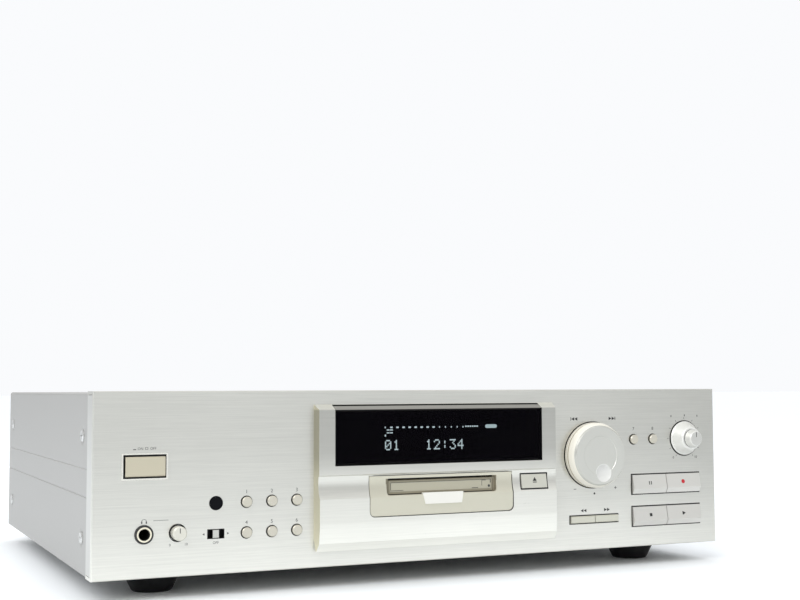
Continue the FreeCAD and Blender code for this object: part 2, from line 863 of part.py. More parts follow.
def make_door():
    """The slot escutcheon, following the cove and the nose, with its tunnel."""
    thick = S.door_thick
    nose = -S.nose_proud
    face = -S.bezel_proud
    sag = S.ridge_step
    outline = [
        (nose + sag / 2, S.door_low), (nose, S.nose_high), (nose, S.nose_high + 1.0, -S.cove_radius),
        (face + sag, S.door_top), (face + sag + thick, S.door_top),
        (nose + thick, S.nose_high + 1.0), (nose + sag / 2 + thick, S.door_low),
    ]
    blank = slab("YZ", [outline], S.door_half * 2, (0, FACE, S.foot_height), middle=True)
    front = slab("XZ", [door_loop(0.0)], S.nose_proud * 2, (0, back(nose - OVERSHOOT), S.foot_height))
    plate = common(blank, front)
    slot = slab("XZ", [rounded(-S.slot_half, S.slot_half, S.slot_low, S.slot_top, S.moulding)],
                S.nose_proud * 2, (0, back(-S.nose_proud - OVERSHOOT), S.foot_height))
    lip_tool = slab("XZ", [lip_loop(S.running)], S.nose_proud,
                    (0, back(-S.nose_proud - S.moulding), S.foot_height))
    wall = S.moulding
    tunnel = slab("XZ", [
        rect(-S.slot_half - wall, S.slot_half + wall, S.slot_low - wall, S.slot_top + S.running + wall / 2),
        rect(-S.slot_half, S.slot_half, S.slot_low, S.slot_top),
    ], S.slot_face + S.display_board, (0, back(-S.slot_face - S.moulding / 2), S.foot_height))
    pins = rod((-(S.flap_half + S.seam + S.moulding + S.slip), back(FLAP_AXIS_DEEP), up(FLAP_AXIS_HIGH)),
               "X",
               (S.flap_half + S.seam + S.moulding + S.slip) * 2, S.flap_pin + S.running)
    ears = []
    for side in (-1, 1):
        near = side * (S.flap_half + S.seam)
        far = side * S.slot_half
        xs = (far, near) if side < 0 else (near, far)
        ears.append(block(xs, (back(-S.slot_face), back(0)), (up(S.slot_low), up(S.slot_top))))
    legs = []
    for side in (-1, 1):
        middle = side * S.lip_half * 2
        legs.append(block((middle - S.post, middle + S.post), (back(0), back(S.display_board - OVERSHOOT)),
                          (up(S.bezel_inner_low + S.bezel_wall), up(S.slot_low))))
    body = fuse(cut(plate, slot, lip_tool), tunnel, *ears, *legs)
    keep("slot_escutcheon", cut(body, pins))


def lip_loop(grow):
    """The trapezoid of the cartridge lip, seen from the front."""
    return [
        (-S.lip_half_low - grow, S.lip_low - grow), (S.lip_half_low + grow, S.lip_low - grow),
        (S.lip_half + grow, S.lip_top + grow), (-S.lip_half - grow, S.lip_top + grow),
    ]


FLAP_AXIS_DEEP = -S.slot_face + S.flap_thick / 2
FLAP_AXIS_HIGH = S.flap_top - S.flap_thick / 2


def make_lip():
    """The pale lip under the slot that guides a cartridge in."""
    blank = slab("XZ", [lip_loop(0.0)], S.nose_proud, (0, back(-S.lip_proud_low), S.foot_height))
    outline = [
        (-S.lip_proud_low, S.lip_low), (-S.slot_face - S.moulding / 2, S.lip_low),
        (-S.slot_face - S.moulding / 2, S.lip_top), (-S.lip_proud_top, S.lip_top),
    ]
    side = slab("YZ", [outline], S.lip_half * 2, (0, FACE, S.foot_height), middle=True)
    keep("cartridge_lip", common(blank, side))


def make_flap():
    """The slot flap, hung on two pins at its top edge."""
    plate = block((-S.flap_half, S.flap_half), (back(-S.slot_face), back(-S.slot_face + S.flap_thick)),
                  (up(S.flap_low), up(FLAP_AXIS_HIGH)))
    roll = rod((-S.flap_half, back(FLAP_AXIS_DEEP), up(FLAP_AXIS_HIGH)), "X", S.flap_half * 2,
               S.flap_thick / 2)
    pins = rod((-(S.flap_half + S.moulding), back(FLAP_AXIS_DEEP), up(FLAP_AXIS_HIGH)), "X",
               (S.flap_half + S.moulding) * 2, S.flap_pin)
    keep("slot_flap", fuse(plate, roll, pins))


# Buttons: each has a face in front, a flange that stops it behind the panel and a stem to its switch
def key_loop():
    """The turned profile of a small round key as (radius, depth)."""
    end = PLUNGER_TIP - S.key_travel - S.slip
    return [
        (0, -S.key_proud), (S.key_face, -S.key_proud),
        (S.key_radius, -S.key_proud + S.key_radius - S.key_face),
        (S.key_radius, FLANGE_FRONT), (S.key_hole + S.flange, FLANGE_FRONT),
        (S.key_hole + S.flange, FLANGE_BACK),
        (S.stem, FLANGE_BACK), (S.stem, end), (0, end),
    ]


def make_keys():
    """The eight round keys."""
    for label, (across, high) in KEY_PLACES.items():
        keep(label, turned("Y", key_loop(), (across, FACE, up(high))))


def bar_button(label, left, right, low, top, outline, travel, hole_left, hole_right, hole_low, hole_top):
    """A rectangular button padded from its side outline, with its flange and stem."""
    body = slab("YZ", [outline], right - left, (left, FACE, S.foot_height))
    flange = block((hole_left, hole_right), (back(FLANGE_FRONT), back(FLANGE_BACK)),
                   (up(hole_low), up(hole_top)))
    middle = ((left + right) / 2, back(FLANGE_BACK), up((low + top) / 2))
    stem = rod(middle, "Y", PLUNGER_TIP - travel - S.slip - FLANGE_BACK, S.stem)
    keep(label, fuse(body, flange, stem))
    return middle


def make_deck_buttons():
    """Pause, record, stop and play: wedges that grow towards the viewer near their lower edge."""
    gap = S.key_gap
    labels = (("pause_button", "record_button"), ("stop_button", "play_button"))
    for row, low in zip(labels, DECK_ROWS):
        bottom = low + gap
        top = low + S.deck_tall - gap
        nose = bottom + (top - bottom) * S.deck_nose
        outline = [
            (-S.deck_proud_top, bottom), (-S.deck_proud, nose), (-S.deck_proud_top, top),
            (FLANGE_FRONT, top), (FLANGE_FRONT, bottom),
        ]
        middle = DECK_SPLIT
        bar_button(row[0], DECK_LEFT + gap, middle - gap / 2, bottom, top, outline, S.deck_travel,
                   DECK_LEFT - S.flange, middle - gap / 2, low - S.flange, low + S.deck_tall + S.flange)
        bar_button(row[1], middle + gap / 2, DECK_RIGHT - gap, bottom, top, outline, S.deck_travel,
                   middle + gap / 2, DECK_RIGHT + S.flange, low - S.flange, low + S.deck_tall + S.flange)


def make_search_buttons():
    """The two search buttons in one slot."""
    gap = S.key_gap
    bottom = S.search_low + gap
    top = S.search_low + S.search_tall - gap
    edge = S.panel_bevel
    outline = [
        (-S.search_proud + edge, bottom), (-S.search_proud, bottom + edge), (-S.search_proud, top - edge),
        (-S.search_proud + edge, top), (FLANGE_FRONT, top), (FLANGE_FRONT, bottom),
    ]
    middle = SEARCH_SPLIT
    low = S.search_low - S.flange
    high = S.search_low + S.search_tall + S.flange
    bar_button("search_back_button", SEARCH_LEFT + gap, middle - gap / 2, bottom, top, outline,
               S.key_travel, SEARCH_LEFT - S.flange, middle - gap / 2, low, high)
    bar_button("search_forward_button", middle + gap / 2, SEARCH_RIGHT - gap, bottom, top, outline,
               S.key_travel, middle + gap / 2, SEARCH_RIGHT + S.flange, low, high)


def make_eject():
    """The eject button, its face sloped like the cove around it."""
    outline = [
        (-S.eject_proud_low, S.eject_low), (-S.eject_proud_top, S.eject_top),
        (S.display_board - S.flange_thick, S.eject_top), (S.display_board - S.flange_thick, S.eject_low),
    ]
    body = slab("YZ", [outline], S.eject_right - S.eject_left, (S.eject_left, FACE, S.foot_height))
    middle = ((S.eject_left + S.eject_right) / 2, back(S.display_board - S.flange_thick),
              up((S.eject_low + S.eject_top) / 2))
    stem = rod(middle, "Y", PLUNGER_TIP - S.eject_travel - S.slip - S.display_board + S.flange_thick, S.stem)
    grow = S.eject_gap + S.flange
    flange = block((S.eject_left - grow, S.eject_right + grow),
                   (back(-S.flange_thick * 2.5), back(-S.flange_thick * 1.5)),
                   (up(S.eject_low - grow), up(S.eject_top + grow)))
    keep("eject_button", fuse(body, flange, stem))


def make_power():
    """The power button and the frame around it."""
    wide = S.power_hole_wide
    tall = S.power_hole_tall
    ring = [
        around(POWER_ACROSS, S.power_high, wide, tall),
        around(POWER_ACROSS, S.power_high, wide - S.power_rim * 2, tall - S.power_rim * 2),
    ]
    keep("power_bezel", slab("XZ", ring, S.panel_plate + S.seam, (0, back(-S.seam), S.foot_height)))
    edge = S.panel_bevel
    low = S.power_high - S.power_tall / 2
    top = S.power_high + S.power_tall / 2
    left = POWER_ACROSS - S.power_wide / 2
    right = POWER_ACROSS + S.power_wide / 2
    outline = [
        (-S.power_proud + edge, low), (-S.power_proud, low + edge), (-S.power_proud, top - edge),
        (-S.power_proud + edge, top), (FLANGE_FRONT, top), (FLANGE_FRONT, low),
    ]
    body = slab("YZ", [outline], right - left, (left, FACE, S.foot_height))
    grow = S.power_rim + S.flange
    flange = block((left - grow, right + grow), (back(FLANGE_FRONT), back(FLANGE_BACK)),
                   (up(low - grow), up(top + grow)))
    stem = rod((POWER_ACROSS, back(FLANGE_BACK), up(S.power_high)), "Y",
               S.front_board - S.power_travel - S.slip - FLANGE_BACK, S.stem * 2)
    keep("power_button", fuse(body, flange, stem))


# Knobs
def make_jog():
    """The jog dial with its finger dimple, on a shaft that pushes in."""
    bore = S.jog_shaft + S.running
    wall = S.jog_wall
    rear = S.panel_plate - OVERSHOOT
    edge = S.jog_radius - S.jog_face
    profile = [
        (0, JOG_FRONT + S.seam), (S.jog_disc, JOG_FRONT + S.seam), (S.jog_disc + S.seam, JOG_FRONT),
        (S.jog_face, JOG_FRONT), (S.jog_radius - edge / 3, JOG_FRONT + edge),
        (S.jog_radius, -S.jog_proud / 2), (S.jog_radius, rear), (S.jog_radius - wall, rear),
        (S.jog_radius - wall - edge / 2, JOG_FRONT + wall * 2), (S.jog_shaft * 2, JOG_FRONT + wall * 2),
        (S.jog_shaft * 2, rear), (bore, rear), (bore, JOG_FRONT + wall * 2), (0, JOG_FRONT + wall * 2),
    ]
    solid = turned("Y", profile, (JOG_ACROSS, FACE, up(S.jog_high)))
    ball_radius = (S.dimple_radius * S.dimple_radius + S.dimple_deep * S.dimple_deep) / (S.dimple_deep * 2)
    ball = doc.addObject("Part::Sphere", "Dimple")
    ball.setExpression("Radius", ball_radius.text)
    put(ball, (JOG_ACROSS + S.dimple_across, back(JOG_FRONT + S.dimple_deep - ball_radius),
               up(S.jog_high - S.dimple_low)))
    groove = turned("Y", [
        (S.jog_radius - S.seam, -S.jog_line), (S.jog_radius + OVERSHOOT, -S.jog_line),
        (S.jog_radius + OVERSHOOT, -S.jog_line + S.seam * 2),
        (S.jog_radius - S.seam, -S.jog_line + S.seam * 2),
    ], (JOG_ACROSS, FACE, up(S.jog_high)))
    keep("jog_dial", cut(solid, ball, groove))
    front = JOG_FRONT + wall * 2 + S.running
    rear_end = S.front_board - S.jog_travel - S.slip
    keep("jog_shaft", rod((JOG_ACROSS, back(front), up(S.jog_high)), "Y", rear_end - front, S.jog_shaft))


def make_level_knobs():
    """The record level knob around the balance knob, and the phones level knob."""
    at = (DUAL_ACROSS, FACE, up(S.dual_high))
    rear = S.panel_plate
    bore = S.balance_shaft + S.running
    tube_end = S.front_board - S.switch_tall
    edge = S.panel_bevel
    keep("record_level_knob", turned("Y", [
        (bore, -S.dual_proud), (S.dual_front - edge, -S.dual_proud), (S.dual_front, -S.dual_proud + edge),
        (S.dual_radius - edge, -S.panel_plate / 2), (S.dual_radius, -S.panel_plate / 2 + edge),
        (S.dual_radius, rear), (S.dual_tube, rear), (S.dual_tube, tube_end), (bore, tube_end),
    ], at))
    front = -S.knob_reach
    keep("balance_knob", turned("Y", [
        (0, front), (S.balance_front - edge, front), (S.balance_front, front + edge),
        (S.balance_radius, -S.dual_proud - S.slip), (S.balance_shaft, -S.dual_proud - S.slip),
        (S.balance_shaft, S.front_board - S.slip), (0, S.front_board - S.slip),
    ], at))
    at = (VOLUME_ACROSS, FACE, up(S.volume_high))
    keep("phones_level_knob", turned("Y", [
        (0, -S.volume_proud), (S.volume_knob - edge, -S.volume_proud),
        (S.volume_knob, -S.volume_proud + edge),
        (S.volume_knob, S.panel_plate), (S.volume_shaft, S.panel_plate),
        (S.volume_shaft, S.front_board - S.slip), (0, S.front_board - S.slip),
    ], at))


def make_small_fittings():
    """The remote sensor's window, the timer slider and the phones jack."""
    keep("ir_window", turned("Y", [
        (0, -S.slip), (S.sensor_radius, -S.slip), (S.sensor_radius, S.panel_plate),
        (S.sensor_radius + S.flange, S.panel_plate), (S.sensor_radius + S.flange, WEB_BACK), (0, WEB_BACK),
    ], (SENSOR_ACROSS, FACE, up(S.sensor_high))))
    half = S.timer_knob_wide / 2
    body_front = S.front_board - S.switch_tall - S.moulding
    tall = S.timer_tall / 2 - S.slip
    knob = block((TIMER_ACROSS - half, TIMER_ACROSS + half), (back(-S.seam), back(body_front - S.slip)),
                 (up(S.timer_high - tall), up(S.timer_high + tall)))
    keep("timer_slider", knob)
    bush = turned("Y", [
        (S.phones_bore, -S.flange_thick), (S.phones_bush, -S.flange_thick), (S.phones_bush, WEB_BACK),
        (S.phones_bush + S.flange * 2, WEB_BACK), (S.phones_bush + S.flange * 2, S.phones_deep),
        (S.phones_bore, S.phones_deep),
    ], (PHONES_ACROSS, FACE, up(S.phones_high)))
    keep("phones_jack", bush)


# Boards, switches and the controls behind the knobs
JACK_SIDE = PHONES_ACROSS + S.phones_bush + S.flange * 2 + S.board_gap
KEY_SIDE = KEY_FIRST + KEY_PITCH * 3
STEP_HIGH = S.key_row_upper + S.pad_half + S.switch_wide
STEP_ACROSS = VOLUME_ACROSS - S.moulding
LEFT_BOARD = [
    (JACK_SIDE, S.board_edge), (KEY_SIDE, S.board_edge), (KEY_SIDE, STEP_HIGH), (STEP_ACROSS, STEP_HIGH),
    (STEP_ACROSS, S.power_high + S.board_in), (-(RIM_IN - S.board_gap), S.power_high + S.board_in),
    (-(RIM_IN - S.board_gap), S.power_high - S.board_edge), (JACK_SIDE, S.power_high - S.board_edge),
]
RIGHT_BOARD = rect(S.bezel_half + S.pad_half, RIM_IN - S.board_gap, S.board_edge,
                   S.case_height - S.board_edge)
DISPLAY_BOARD = rect(-S.bezel_inner_half, S.bezel_inner_half, S.window_low - 2.0, INNER_TOP)
EJECT_HIGH = (S.eject_low + S.eject_top) / 2
EJECT_ACROSS = (S.eject_left + S.eject_right) / 2
EJECT_BOARD = rect(S.eject_left - 1.0, S.bezel_inner_half, S.eject_low - 8.0, S.window_low - 2.5)


def switch_places():
    """Where the push switches of the front boards stand."""
    places = list(KEY_PLACES.values())
    for low in DECK_ROWS:
        high = low + S.deck_tall / 2
        places.append(((DECK_LEFT + S.key_gap + DECK_SPLIT - S.key_gap / 2) / 2, high))
        places.append(((DECK_RIGHT - S.key_gap + DECK_SPLIT + S.key_gap / 2) / 2, high))
    high = S.search_low + S.search_tall / 2
    places.append(((SEARCH_LEFT + S.key_gap + SEARCH_SPLIT - S.key_gap / 2) / 2, high))
    places.append(((SEARCH_RIGHT - S.key_gap + SEARCH_SPLIT + S.key_gap / 2) / 2, high))
    places.append((EJECT_ACROSS, EJECT_HIGH))
    return places


def make_switches():
    """Every push switch, the timer's slide switch and the mains switch."""
    half = S.switch_wide / 2
    front = S.front_board - S.switch_tall
    parts = []
    for across, high in switch_places():
        base = block((across - half, across + half), (back(front), back(S.front_board)),
                     (up(high) - half, up(high) + half))
        button = rod((across, back(PLUNGER_TIP), up(high)), "Y", S.plunger, S.plunger_radius)
        parts.append(fuse(base, button))
    slide = front - S.moulding
    parts.append(block((TIMER_ACROSS - S.timer_wide, TIMER_ACROSS + S.timer_wide),
                       (back(slide), back(S.front_board)),
                       (up(S.timer_high - S.timer_tall / 2), up(S.timer_high + S.timer_tall / 2))))
    wide = S.power_tall / 2
    rear = S.front_board + S.board_thick
    mains = block((POWER_ACROSS - wide, POWER_ACROSS + wide), (back(rear), back(rear + S.power_wide)),
                  (up(S.power_high - wide), up(S.power_high + wide)))
    nub = rod((POWER_ACROSS, back(S.front_board), up(S.power_high)), "Y", S.board_thick + OVERSHOOT,
              S.plunger_radius)
    parts.append(fuse(mains, nub))
    keep("panel_switches", group(*parts))


def make_boards():
    """The front boards, the display's board and the two boards on the base."""
    thick = S.board_thick
    at = (0, back(S.front_board), S.foot_height)
    left = slab("XZ", [LEFT_BOARD], thick, at)
    pocket(left, "XZ", [around(POWER_ACROSS, S.power_high, S.plunger * 4, S.plunger * 4)],
           -OVERSHOOT, thick + OVERSHOOT * 2)
    right = slab("XZ", [RIGHT_BOARD], thick, at)
    eject = slab("XZ", [EJECT_BOARD], thick, at)
    show = slab("XZ", [DISPLAY_BOARD], thick, (0, back(S.display_board), S.foot_height))
    lift = up(BASE_TOP + S.main_board_lift)
    main = block(MAIN_BOARD[0], MAIN_BOARD[1], (lift, lift + thick))
    power = block(POWER_BOARD[0], POWER_BOARD[1], (lift, lift + thick))
    keep("circuit_boards", group(left, right, eject, show, main, power))


BOARD_REAR = back(REAR_INNER - S.board_rear_in)
POWER_BOARD = ((-SKIN_HALF + S.board_in, -SKIN_HALF + S.board_in + S.power_board_wide),
               (back(REAR_INNER - S.power_board_long), BOARD_REAR))
MAIN_BOARD = ((POWER_BOARD[0][1] + S.board_edge, SKIN_HALF - S.board_in),
              (back(REAR_INNER - S.main_board_long), BOARD_REAR))

# Round parts as (in from the left end of their board, in from the rear panel, radius, height)
POWER_CANS = (
    (11.2, 50.5, 6.0, 26.0), (11.2, 28.5, 6.0, 26.0), (76.2, 46.5, 5.0, 20.0), (92.2, 46.5, 5.0, 20.0),
)
MAIN_CANS = ((150.0, 46.5, 4.0, 12.0), (164.0, 46.5, 4.0, 12.0), (150.0, 66.5, 4.0, 12.0),
             (20.0, 26.5, 5.0, 16.0))
# Chips as (in from the left end of the main board, in from the rear panel, width, length)
CHIPS = (
    (90.0, 146.5, 22.0, 22.0), (150.0, 146.5, 16.0, 28.0), (210.0, 126.5, 28.0, 14.0),
    (100.0, 76.5, 24.0, 12.0),
)
# The cooling block, in from the left end of the main board and from the rear panel
HEAT_PLACE = (20.0, 166.5)
HEAT_FINS = 5


def make_board_parts():
    """Capacitors, chips and the cooling block on the two base boards."""
    top = up(BASE_TOP + S.main_board_lift) + S.board_thick
    parts = []
    for board, cans in ((POWER_BOARD, POWER_CANS), (MAIN_BOARD, MAIN_CANS)):
        for across, deep, radius, tall in cans:
            parts.append(rod((board[0][0] + across, back(REAR_INNER - deep), top), "Z", tall, radius))
    for across, deep, wide, long in CHIPS:
        middle = MAIN_BOARD[0][0] + across
        parts.append(block((middle - wide / 2, middle + wide / 2),
                           (back(REAR_INNER - deep - long / 2), back(REAR_INNER - deep + long / 2)),
                           (top, top + S.board_thick * 2)))
    left = MAIN_BOARD[0][0] + HEAT_PLACE[0]
    front = REAR_INNER - HEAT_PLACE[1]
    web = front + S.heat_fin * 2
    tall = (top, top + S.heat_tall)
    fins = [block((left, left + S.heat_pitch * (HEAT_FINS - 1) + S.heat_fin), (back(front), back(web)),
                  tall)]
    for index in range(HEAT_FINS):
        near = left + S.heat_pitch * index
        fins.append(block((near, near + S.heat_fin), (back(web), back(web + S.heat_deep)), tall))
    parts.append(fuse(*fins))
    keep("board_parts", group(*parts))


def make_transformer():
    """The mains transformer: a laminated core around its winding, on two feet."""
    low = up(BASE_TOP)
    middle = -SKIN_HALF + S.core_side_in
    deep = REAR_INNER - S.core_rear_in
    foot = S.moulding
    half = S.core_wide / 2
    core = block((middle - half, middle + half),
                 (back(deep - S.core_thick / 2), back(deep + S.core_thick / 2)),
                 (low + foot, low + foot + S.core_tall))
    bare = (S.core_wide - S.winding_wide) / 2
    half = S.winding_wide / 2
    winding = block((middle - half, middle + half),
                    (back(deep - S.winding_long / 2), back(deep + S.winding_long / 2)),
                    (low + foot + bare - OVERSHOOT, low + foot + S.core_tall - bare + OVERSHOOT))
    half = S.core_wide / 2 + foot * 3
    feet = block((middle - half, middle + half),
                 (back(deep - S.core_thick / 2 + foot), back(deep + S.core_thick / 2 - foot)),
                 (low, low + foot))
    keep("power_transformer", fuse(core, winding, feet))


def make_controls():
    """The jog encoder and the bodies of the potentiometers, bored for their shafts."""
    parts = []
    front = S.front_board - S.switch_tall - S.moulding
    for across, high, half, bore, tube in (
            (JOG_ACROSS, S.jog_high, S.pad_half, S.jog_shaft, None),
            (DUAL_ACROSS, S.dual_high, S.pad_half, S.balance_shaft, S.dual_tube),
            (VOLUME_ACROSS, S.volume_high, S.switch_wide, S.volume_shaft, None)):
        body = block((across - half, across + half), (back(front), back(S.front_board)),
                     (up(high) - half, up(high) + half))
        tools = [rod((across, back(front - OVERSHOOT), up(high)), "Y",
                     S.front_board - front + OVERSHOOT * 2, bore + S.running)]
        if tube is not None:
            deep = S.moulding + S.slip
            tools.append(rod((across, back(front - OVERSHOOT), up(high)), "Y", deep + OVERSHOOT,
                             tube + S.running))
        parts.append(cut(body, *tools))
    keep("rotary_controls", group(*parts))


def make_display_tube():
    """The glass display tube in front of its board."""
    rear = S.display_board
    keep("display_tube", block((-S.tube_half, S.tube_half), (back(rear - S.tube_thick), back(rear)),
                               (up(S.tube_low), up(TUBE_TOP))))


# Disc mechanism. The cartridge slides into a holder that drops onto the turntable
SPINDLE_DEEP = S.holder_front + S.moulding + S.disc_long / 2
BAY_TOP = S.bay_low + S.disc_thick + S.bay_slack
HOLDER_IN = S.disc_wide / 2 + S.bay_slack
HOLDER_OUT = HOLDER_IN + S.holder_sheet
HOLDER_REAR = S.holder_front + S.disc_long + S.moulding * 2
WALL_IN = HOLDER_OUT + S.slip * 2
WALL_OUT = WALL_IN + S.sheet
SLIDER_IN = WALL_OUT + S.slip
SLIDER_OUT = SLIDER_IN + S.slider_thick
PIN_HIGH = S.bay_low + S.pin_height
PIN_DEEPS = (S.holder_front + S.pin_front, S.holder_front + S.pin_front + S.pin_spread)
PITCH_RADIUS = S.tooth_module * S.pinion_teeth / 2
PINION_HIGH = S.rack_pitch_line - PITCH_RADIUS
MECH_TOP = S.mech_low + S.mech_sheet
LENS_ACROSS = S.lens_start
ARM_AXIS = S.lens_start + S.arm_reach
ROD_DEEPS = (SPINDLE_DEEP - S.rod_spread, SPINDLE_DEEP + S.rod_spread)
ROD_ENDS = (-4.0, S.mech_right - 4.0)


def make_holder():
    """The sheet-metal pocket that carries the cartridge, with its four pins."""
    sheet_thick = S.holder_sheet
    lip = HOLDER_IN - S.holder_lip
    low = S.bay_low - sheet_thick
    section = [
        (-HOLDER_OUT, low), (-lip, low), (-lip, S.bay_low), (-HOLDER_IN, S.bay_low),
        (-HOLDER_IN, BAY_TOP), (HOLDER_IN, BAY_TOP), (HOLDER_IN, S.bay_low), (lip, S.bay_low),
        (lip, low), (HOLDER_OUT, low), (HOLDER_OUT, BAY_TOP + sheet_thick),
        (-HOLDER_OUT, BAY_TOP + sheet_thick),
    ]
    body = slab("XZ", [section], HOLDER_REAR - S.holder_front, (0, back(S.holder_front), S.foot_height))
    window = rect(LENS_ACROSS - S.head_size, HOLDER_OUT + OVERSHOOT,
                  SPINDLE_DEEP - S.holder_front - S.head_size, SPINDLE_DEEP - S.holder_front + S.head_size)
    pocket(body, "XY", [window], BAY_TOP - OVERSHOOT, sheet_thick + OVERSHOOT * 2)
    stop = block((-HOLDER_IN / 2, HOLDER_IN / 2), (back(HOLDER_REAR - sheet_thick), back(HOLDER_REAR)),
                 (up(S.bay_low), up(BAY_TOP + sheet_thick / 2)))
    pins = []
    for deep in PIN_DEEPS:
        pins.append(rod((-SLIDER_OUT - S.slip, back(deep), up(PIN_HIGH)), "X",
                        SLIDER_OUT + S.slip - HOLDER_IN, S.pin_radius))
        pins.append(rod((HOLDER_IN, back(deep), up(PIN_HIGH)), "X", WALL_OUT - HOLDER_IN, S.pin_radius))
    keep("cartridge_holder", fuse(body, stop, *pins))


def make_mech_frame():
    """The mechanism's plate with slotted walls for the holder's pins and blocks for the rod and screw."""
    plate = block((-WALL_OUT, S.mech_right), (back(S.mech_front), back(S.mech_rear)),
                  (up(S.mech_low), up(MECH_TOP)))
    top = up(S.mech_wall_top)
    slots = []
    reach = S.pin_radius + S.slip / 2
    for deep in PIN_DEEPS:
        slots.append(block((-WALL_OUT - OVERSHOOT, WALL_OUT + OVERSHOOT),
                           (back(deep) - reach, back(deep) + reach),
                           (up(PIN_HIGH - S.holder_drop) - reach, top + OVERSHOOT)))
    walls = [block((-WALL_OUT, -WALL_IN), (back(S.holder_front), back(HOLDER_REAR)), (up(MECH_TOP), top))]
    gap = ROD_DEEPS[0] - S.rod_radius * 2
    walls.append(block((WALL_IN, WALL_OUT), (back(S.holder_front), back(gap)), (up(MECH_TOP), top)))
    gap = ROD_DEEPS[1] + S.rod_radius * 3
    walls.append(block((WALL_IN, WALL_OUT), (back(gap), back(HOLDER_REAR + S.moulding)),
                       (up(MECH_TOP), top)))
    bearings = []
    half = S.rod_radius * 2
    for deep in ROD_DEEPS:
        for start in ROD_ENDS:
            bearings.append(block((start, start + S.mech_post), (back(deep) - half, back(deep) + half),
                                  (up(MECH_TOP), up(S.rod_high) + half)))
    bore = rod((ROD_ENDS[0] - OVERSHOOT, back(ROD_DEEPS[1]), up(S.rod_high)), "X",
               ROD_ENDS[1] + S.mech_post + OVERSHOOT * 2 - ROD_ENDS[0], S.spindle_shaft + S.running)
    tail = rod((ROD_ENDS[0] - OVERSHOOT, back(ROD_DEEPS[0]), up(S.rod_high)), "X",
               ROD_ENDS[1] + S.mech_post + OVERSHOOT * 2 - ROD_ENDS[0], S.rod_radius)
    strips = []
    for side in (-1, 1):
        middle = S.pinion_place + side * (PITCH_RADIUS + S.moulding * 3)
        strips.append(block((-MOTOR_FACE, -WALL_OUT), (back(middle - S.moulding), back(middle + S.moulding)),
                            (up(S.mech_low), up(MECH_TOP))))
    reach = PITCH_RADIUS + S.moulding * 4
    bracket = block((-MOTOR_FACE, -MOTOR_FACE + S.sheet),
                    (back(S.pinion_place) - reach, back(S.pinion_place) + reach),
                    (up(PINION_HIGH) - reach, up(PINION_HIGH) + reach))
    shaft_way = rod((-MOTOR_FACE - OVERSHOOT, back(S.pinion_place), up(PINION_HIGH)), "X",
                    S.sheet + OVERSHOOT * 2, S.pinion_shaft * 2)
    body = cut(fuse(plate, *walls, *bearings), bore, tail, *slots)
    keep("mech_frame", fuse(body, *strips, cut(bracket, shaft_way)))


MOTOR_FACE = SLIDER_OUT + S.moulding


def make_mech_posts():
    """The four posts that carry the mechanism above the base."""
    low = up(BASE_TOP)
    posts = []
    for across in (-WALL_IN + S.mech_post, S.mech_right - S.mech_post * 2):
        for deep in (S.mech_front + S.mech_post * 2.5, S.mech_rear - S.mech_post * 2.5):
            posts.append(rod((across, back(deep), low), "Z", up(S.mech_low) - low, S.mech_post))
    keep("mech_posts", group(*posts))


def make_slider():
    """The loading slider: two slanted slots lower the holder, and a rack meets the pinion."""
    front = S.mech_front + OVERSHOOT
    plate = block((-SLIDER_OUT, -SLIDER_IN), (back(front), back(front + S.slider_long)),
                  (up(S.rack_pitch_line + S.tooth_module * 1.5), up(S.slider_top)))
    slots = []
    reach = S.pin_radius + S.slip / 2
    slope = math.degrees(math.atan2(float(S.holder_drop), float(S.slider_throw)))
    length = (S.slider_throw * S.slider_throw + S.holder_drop * S.holder_drop).root()
    for deep in PIN_DEEPS:
        low_end = (deep - S.slider_throw, PIN_HIGH - S.holder_drop)
        turn = FreeCAD.Rotation(FreeCAD.Vector(1, 0, 0), slope)
        channel = doc.addObject("Part::Box", "Channel")
        channel.setExpression("Length", (S.slider_thick + OVERSHOOT * 2).text)
        channel.setExpression("Width", length.text)
        channel.setExpression("Height", (reach * 2).text)
        offset = turn.multVec(FreeCAD.Vector(0, 0, -float(reach)))
        put(channel, (-SLIDER_OUT - OVERSHOOT, back(low_end[0]) + offset.y, up(low_end[1]) + offset.z), turn)
        slots.append(channel)
        for end in (low_end, (deep, PIN_HIGH)):
            slots.append(rod((-SLIDER_OUT - OVERSHOOT, back(end[0]), up(end[1])), "X",
                             S.slider_thick + OVERSHOOT * 2, reach))
    rack = doc.addObject("Part::Feature", "Rack")
    rack.Shape = rack_shape()
    put(rack, (-SLIDER_OUT, back(0), up(0)))
    keep("loading_slider", fuse(cut(plate, *slots), rack))


def rack_shape():
    """The rack's straight-flanked teeth, one gap centred over the pinion."""
    pitch = math.pi * float(S.tooth_module)
    module = float(S.tooth_module)
    line = float(S.rack_pitch_line)
    lean = math.tan(math.radians(PRESSURE_ANGLE))
    half = pitch / 4 - float(S.backlash) / 2
    count = math.ceil(float(S.slider_throw) / pitch) + RACK_SPARE
    first = float(S.pinion_place) - (count - RACK_SPARE / 2) * pitch
    points = [(first - half * 2, line + module * 2), (first - half * 2, line + module * ROOT)]
    for index in range(count):
        middle = first + (index + 0.5) * pitch
        points.append((middle - half - module * ROOT * lean, line + module * ROOT))
        points.append((middle - half + module * lean, line - module))
        points.append((middle + half - module * lean, line - module))
        points.append((middle + half + module * ROOT * lean, line + module * ROOT))
    last = first + count * pitch
    points += [(last, line + module * ROOT), (last, line + module * 2)]
    wire = Part.makePolygon([FreeCAD.Vector(0, y, z) for y, z in points + points[:1]])
    return Part.Face(wire).extrude(FreeCAD.Vector(float(S.slider_thick), 0, 0))


PRESSURE_ANGLE = 20.0
ROOT = 1.25
RACK_SPARE = 6
FLANK_STEPS = 5


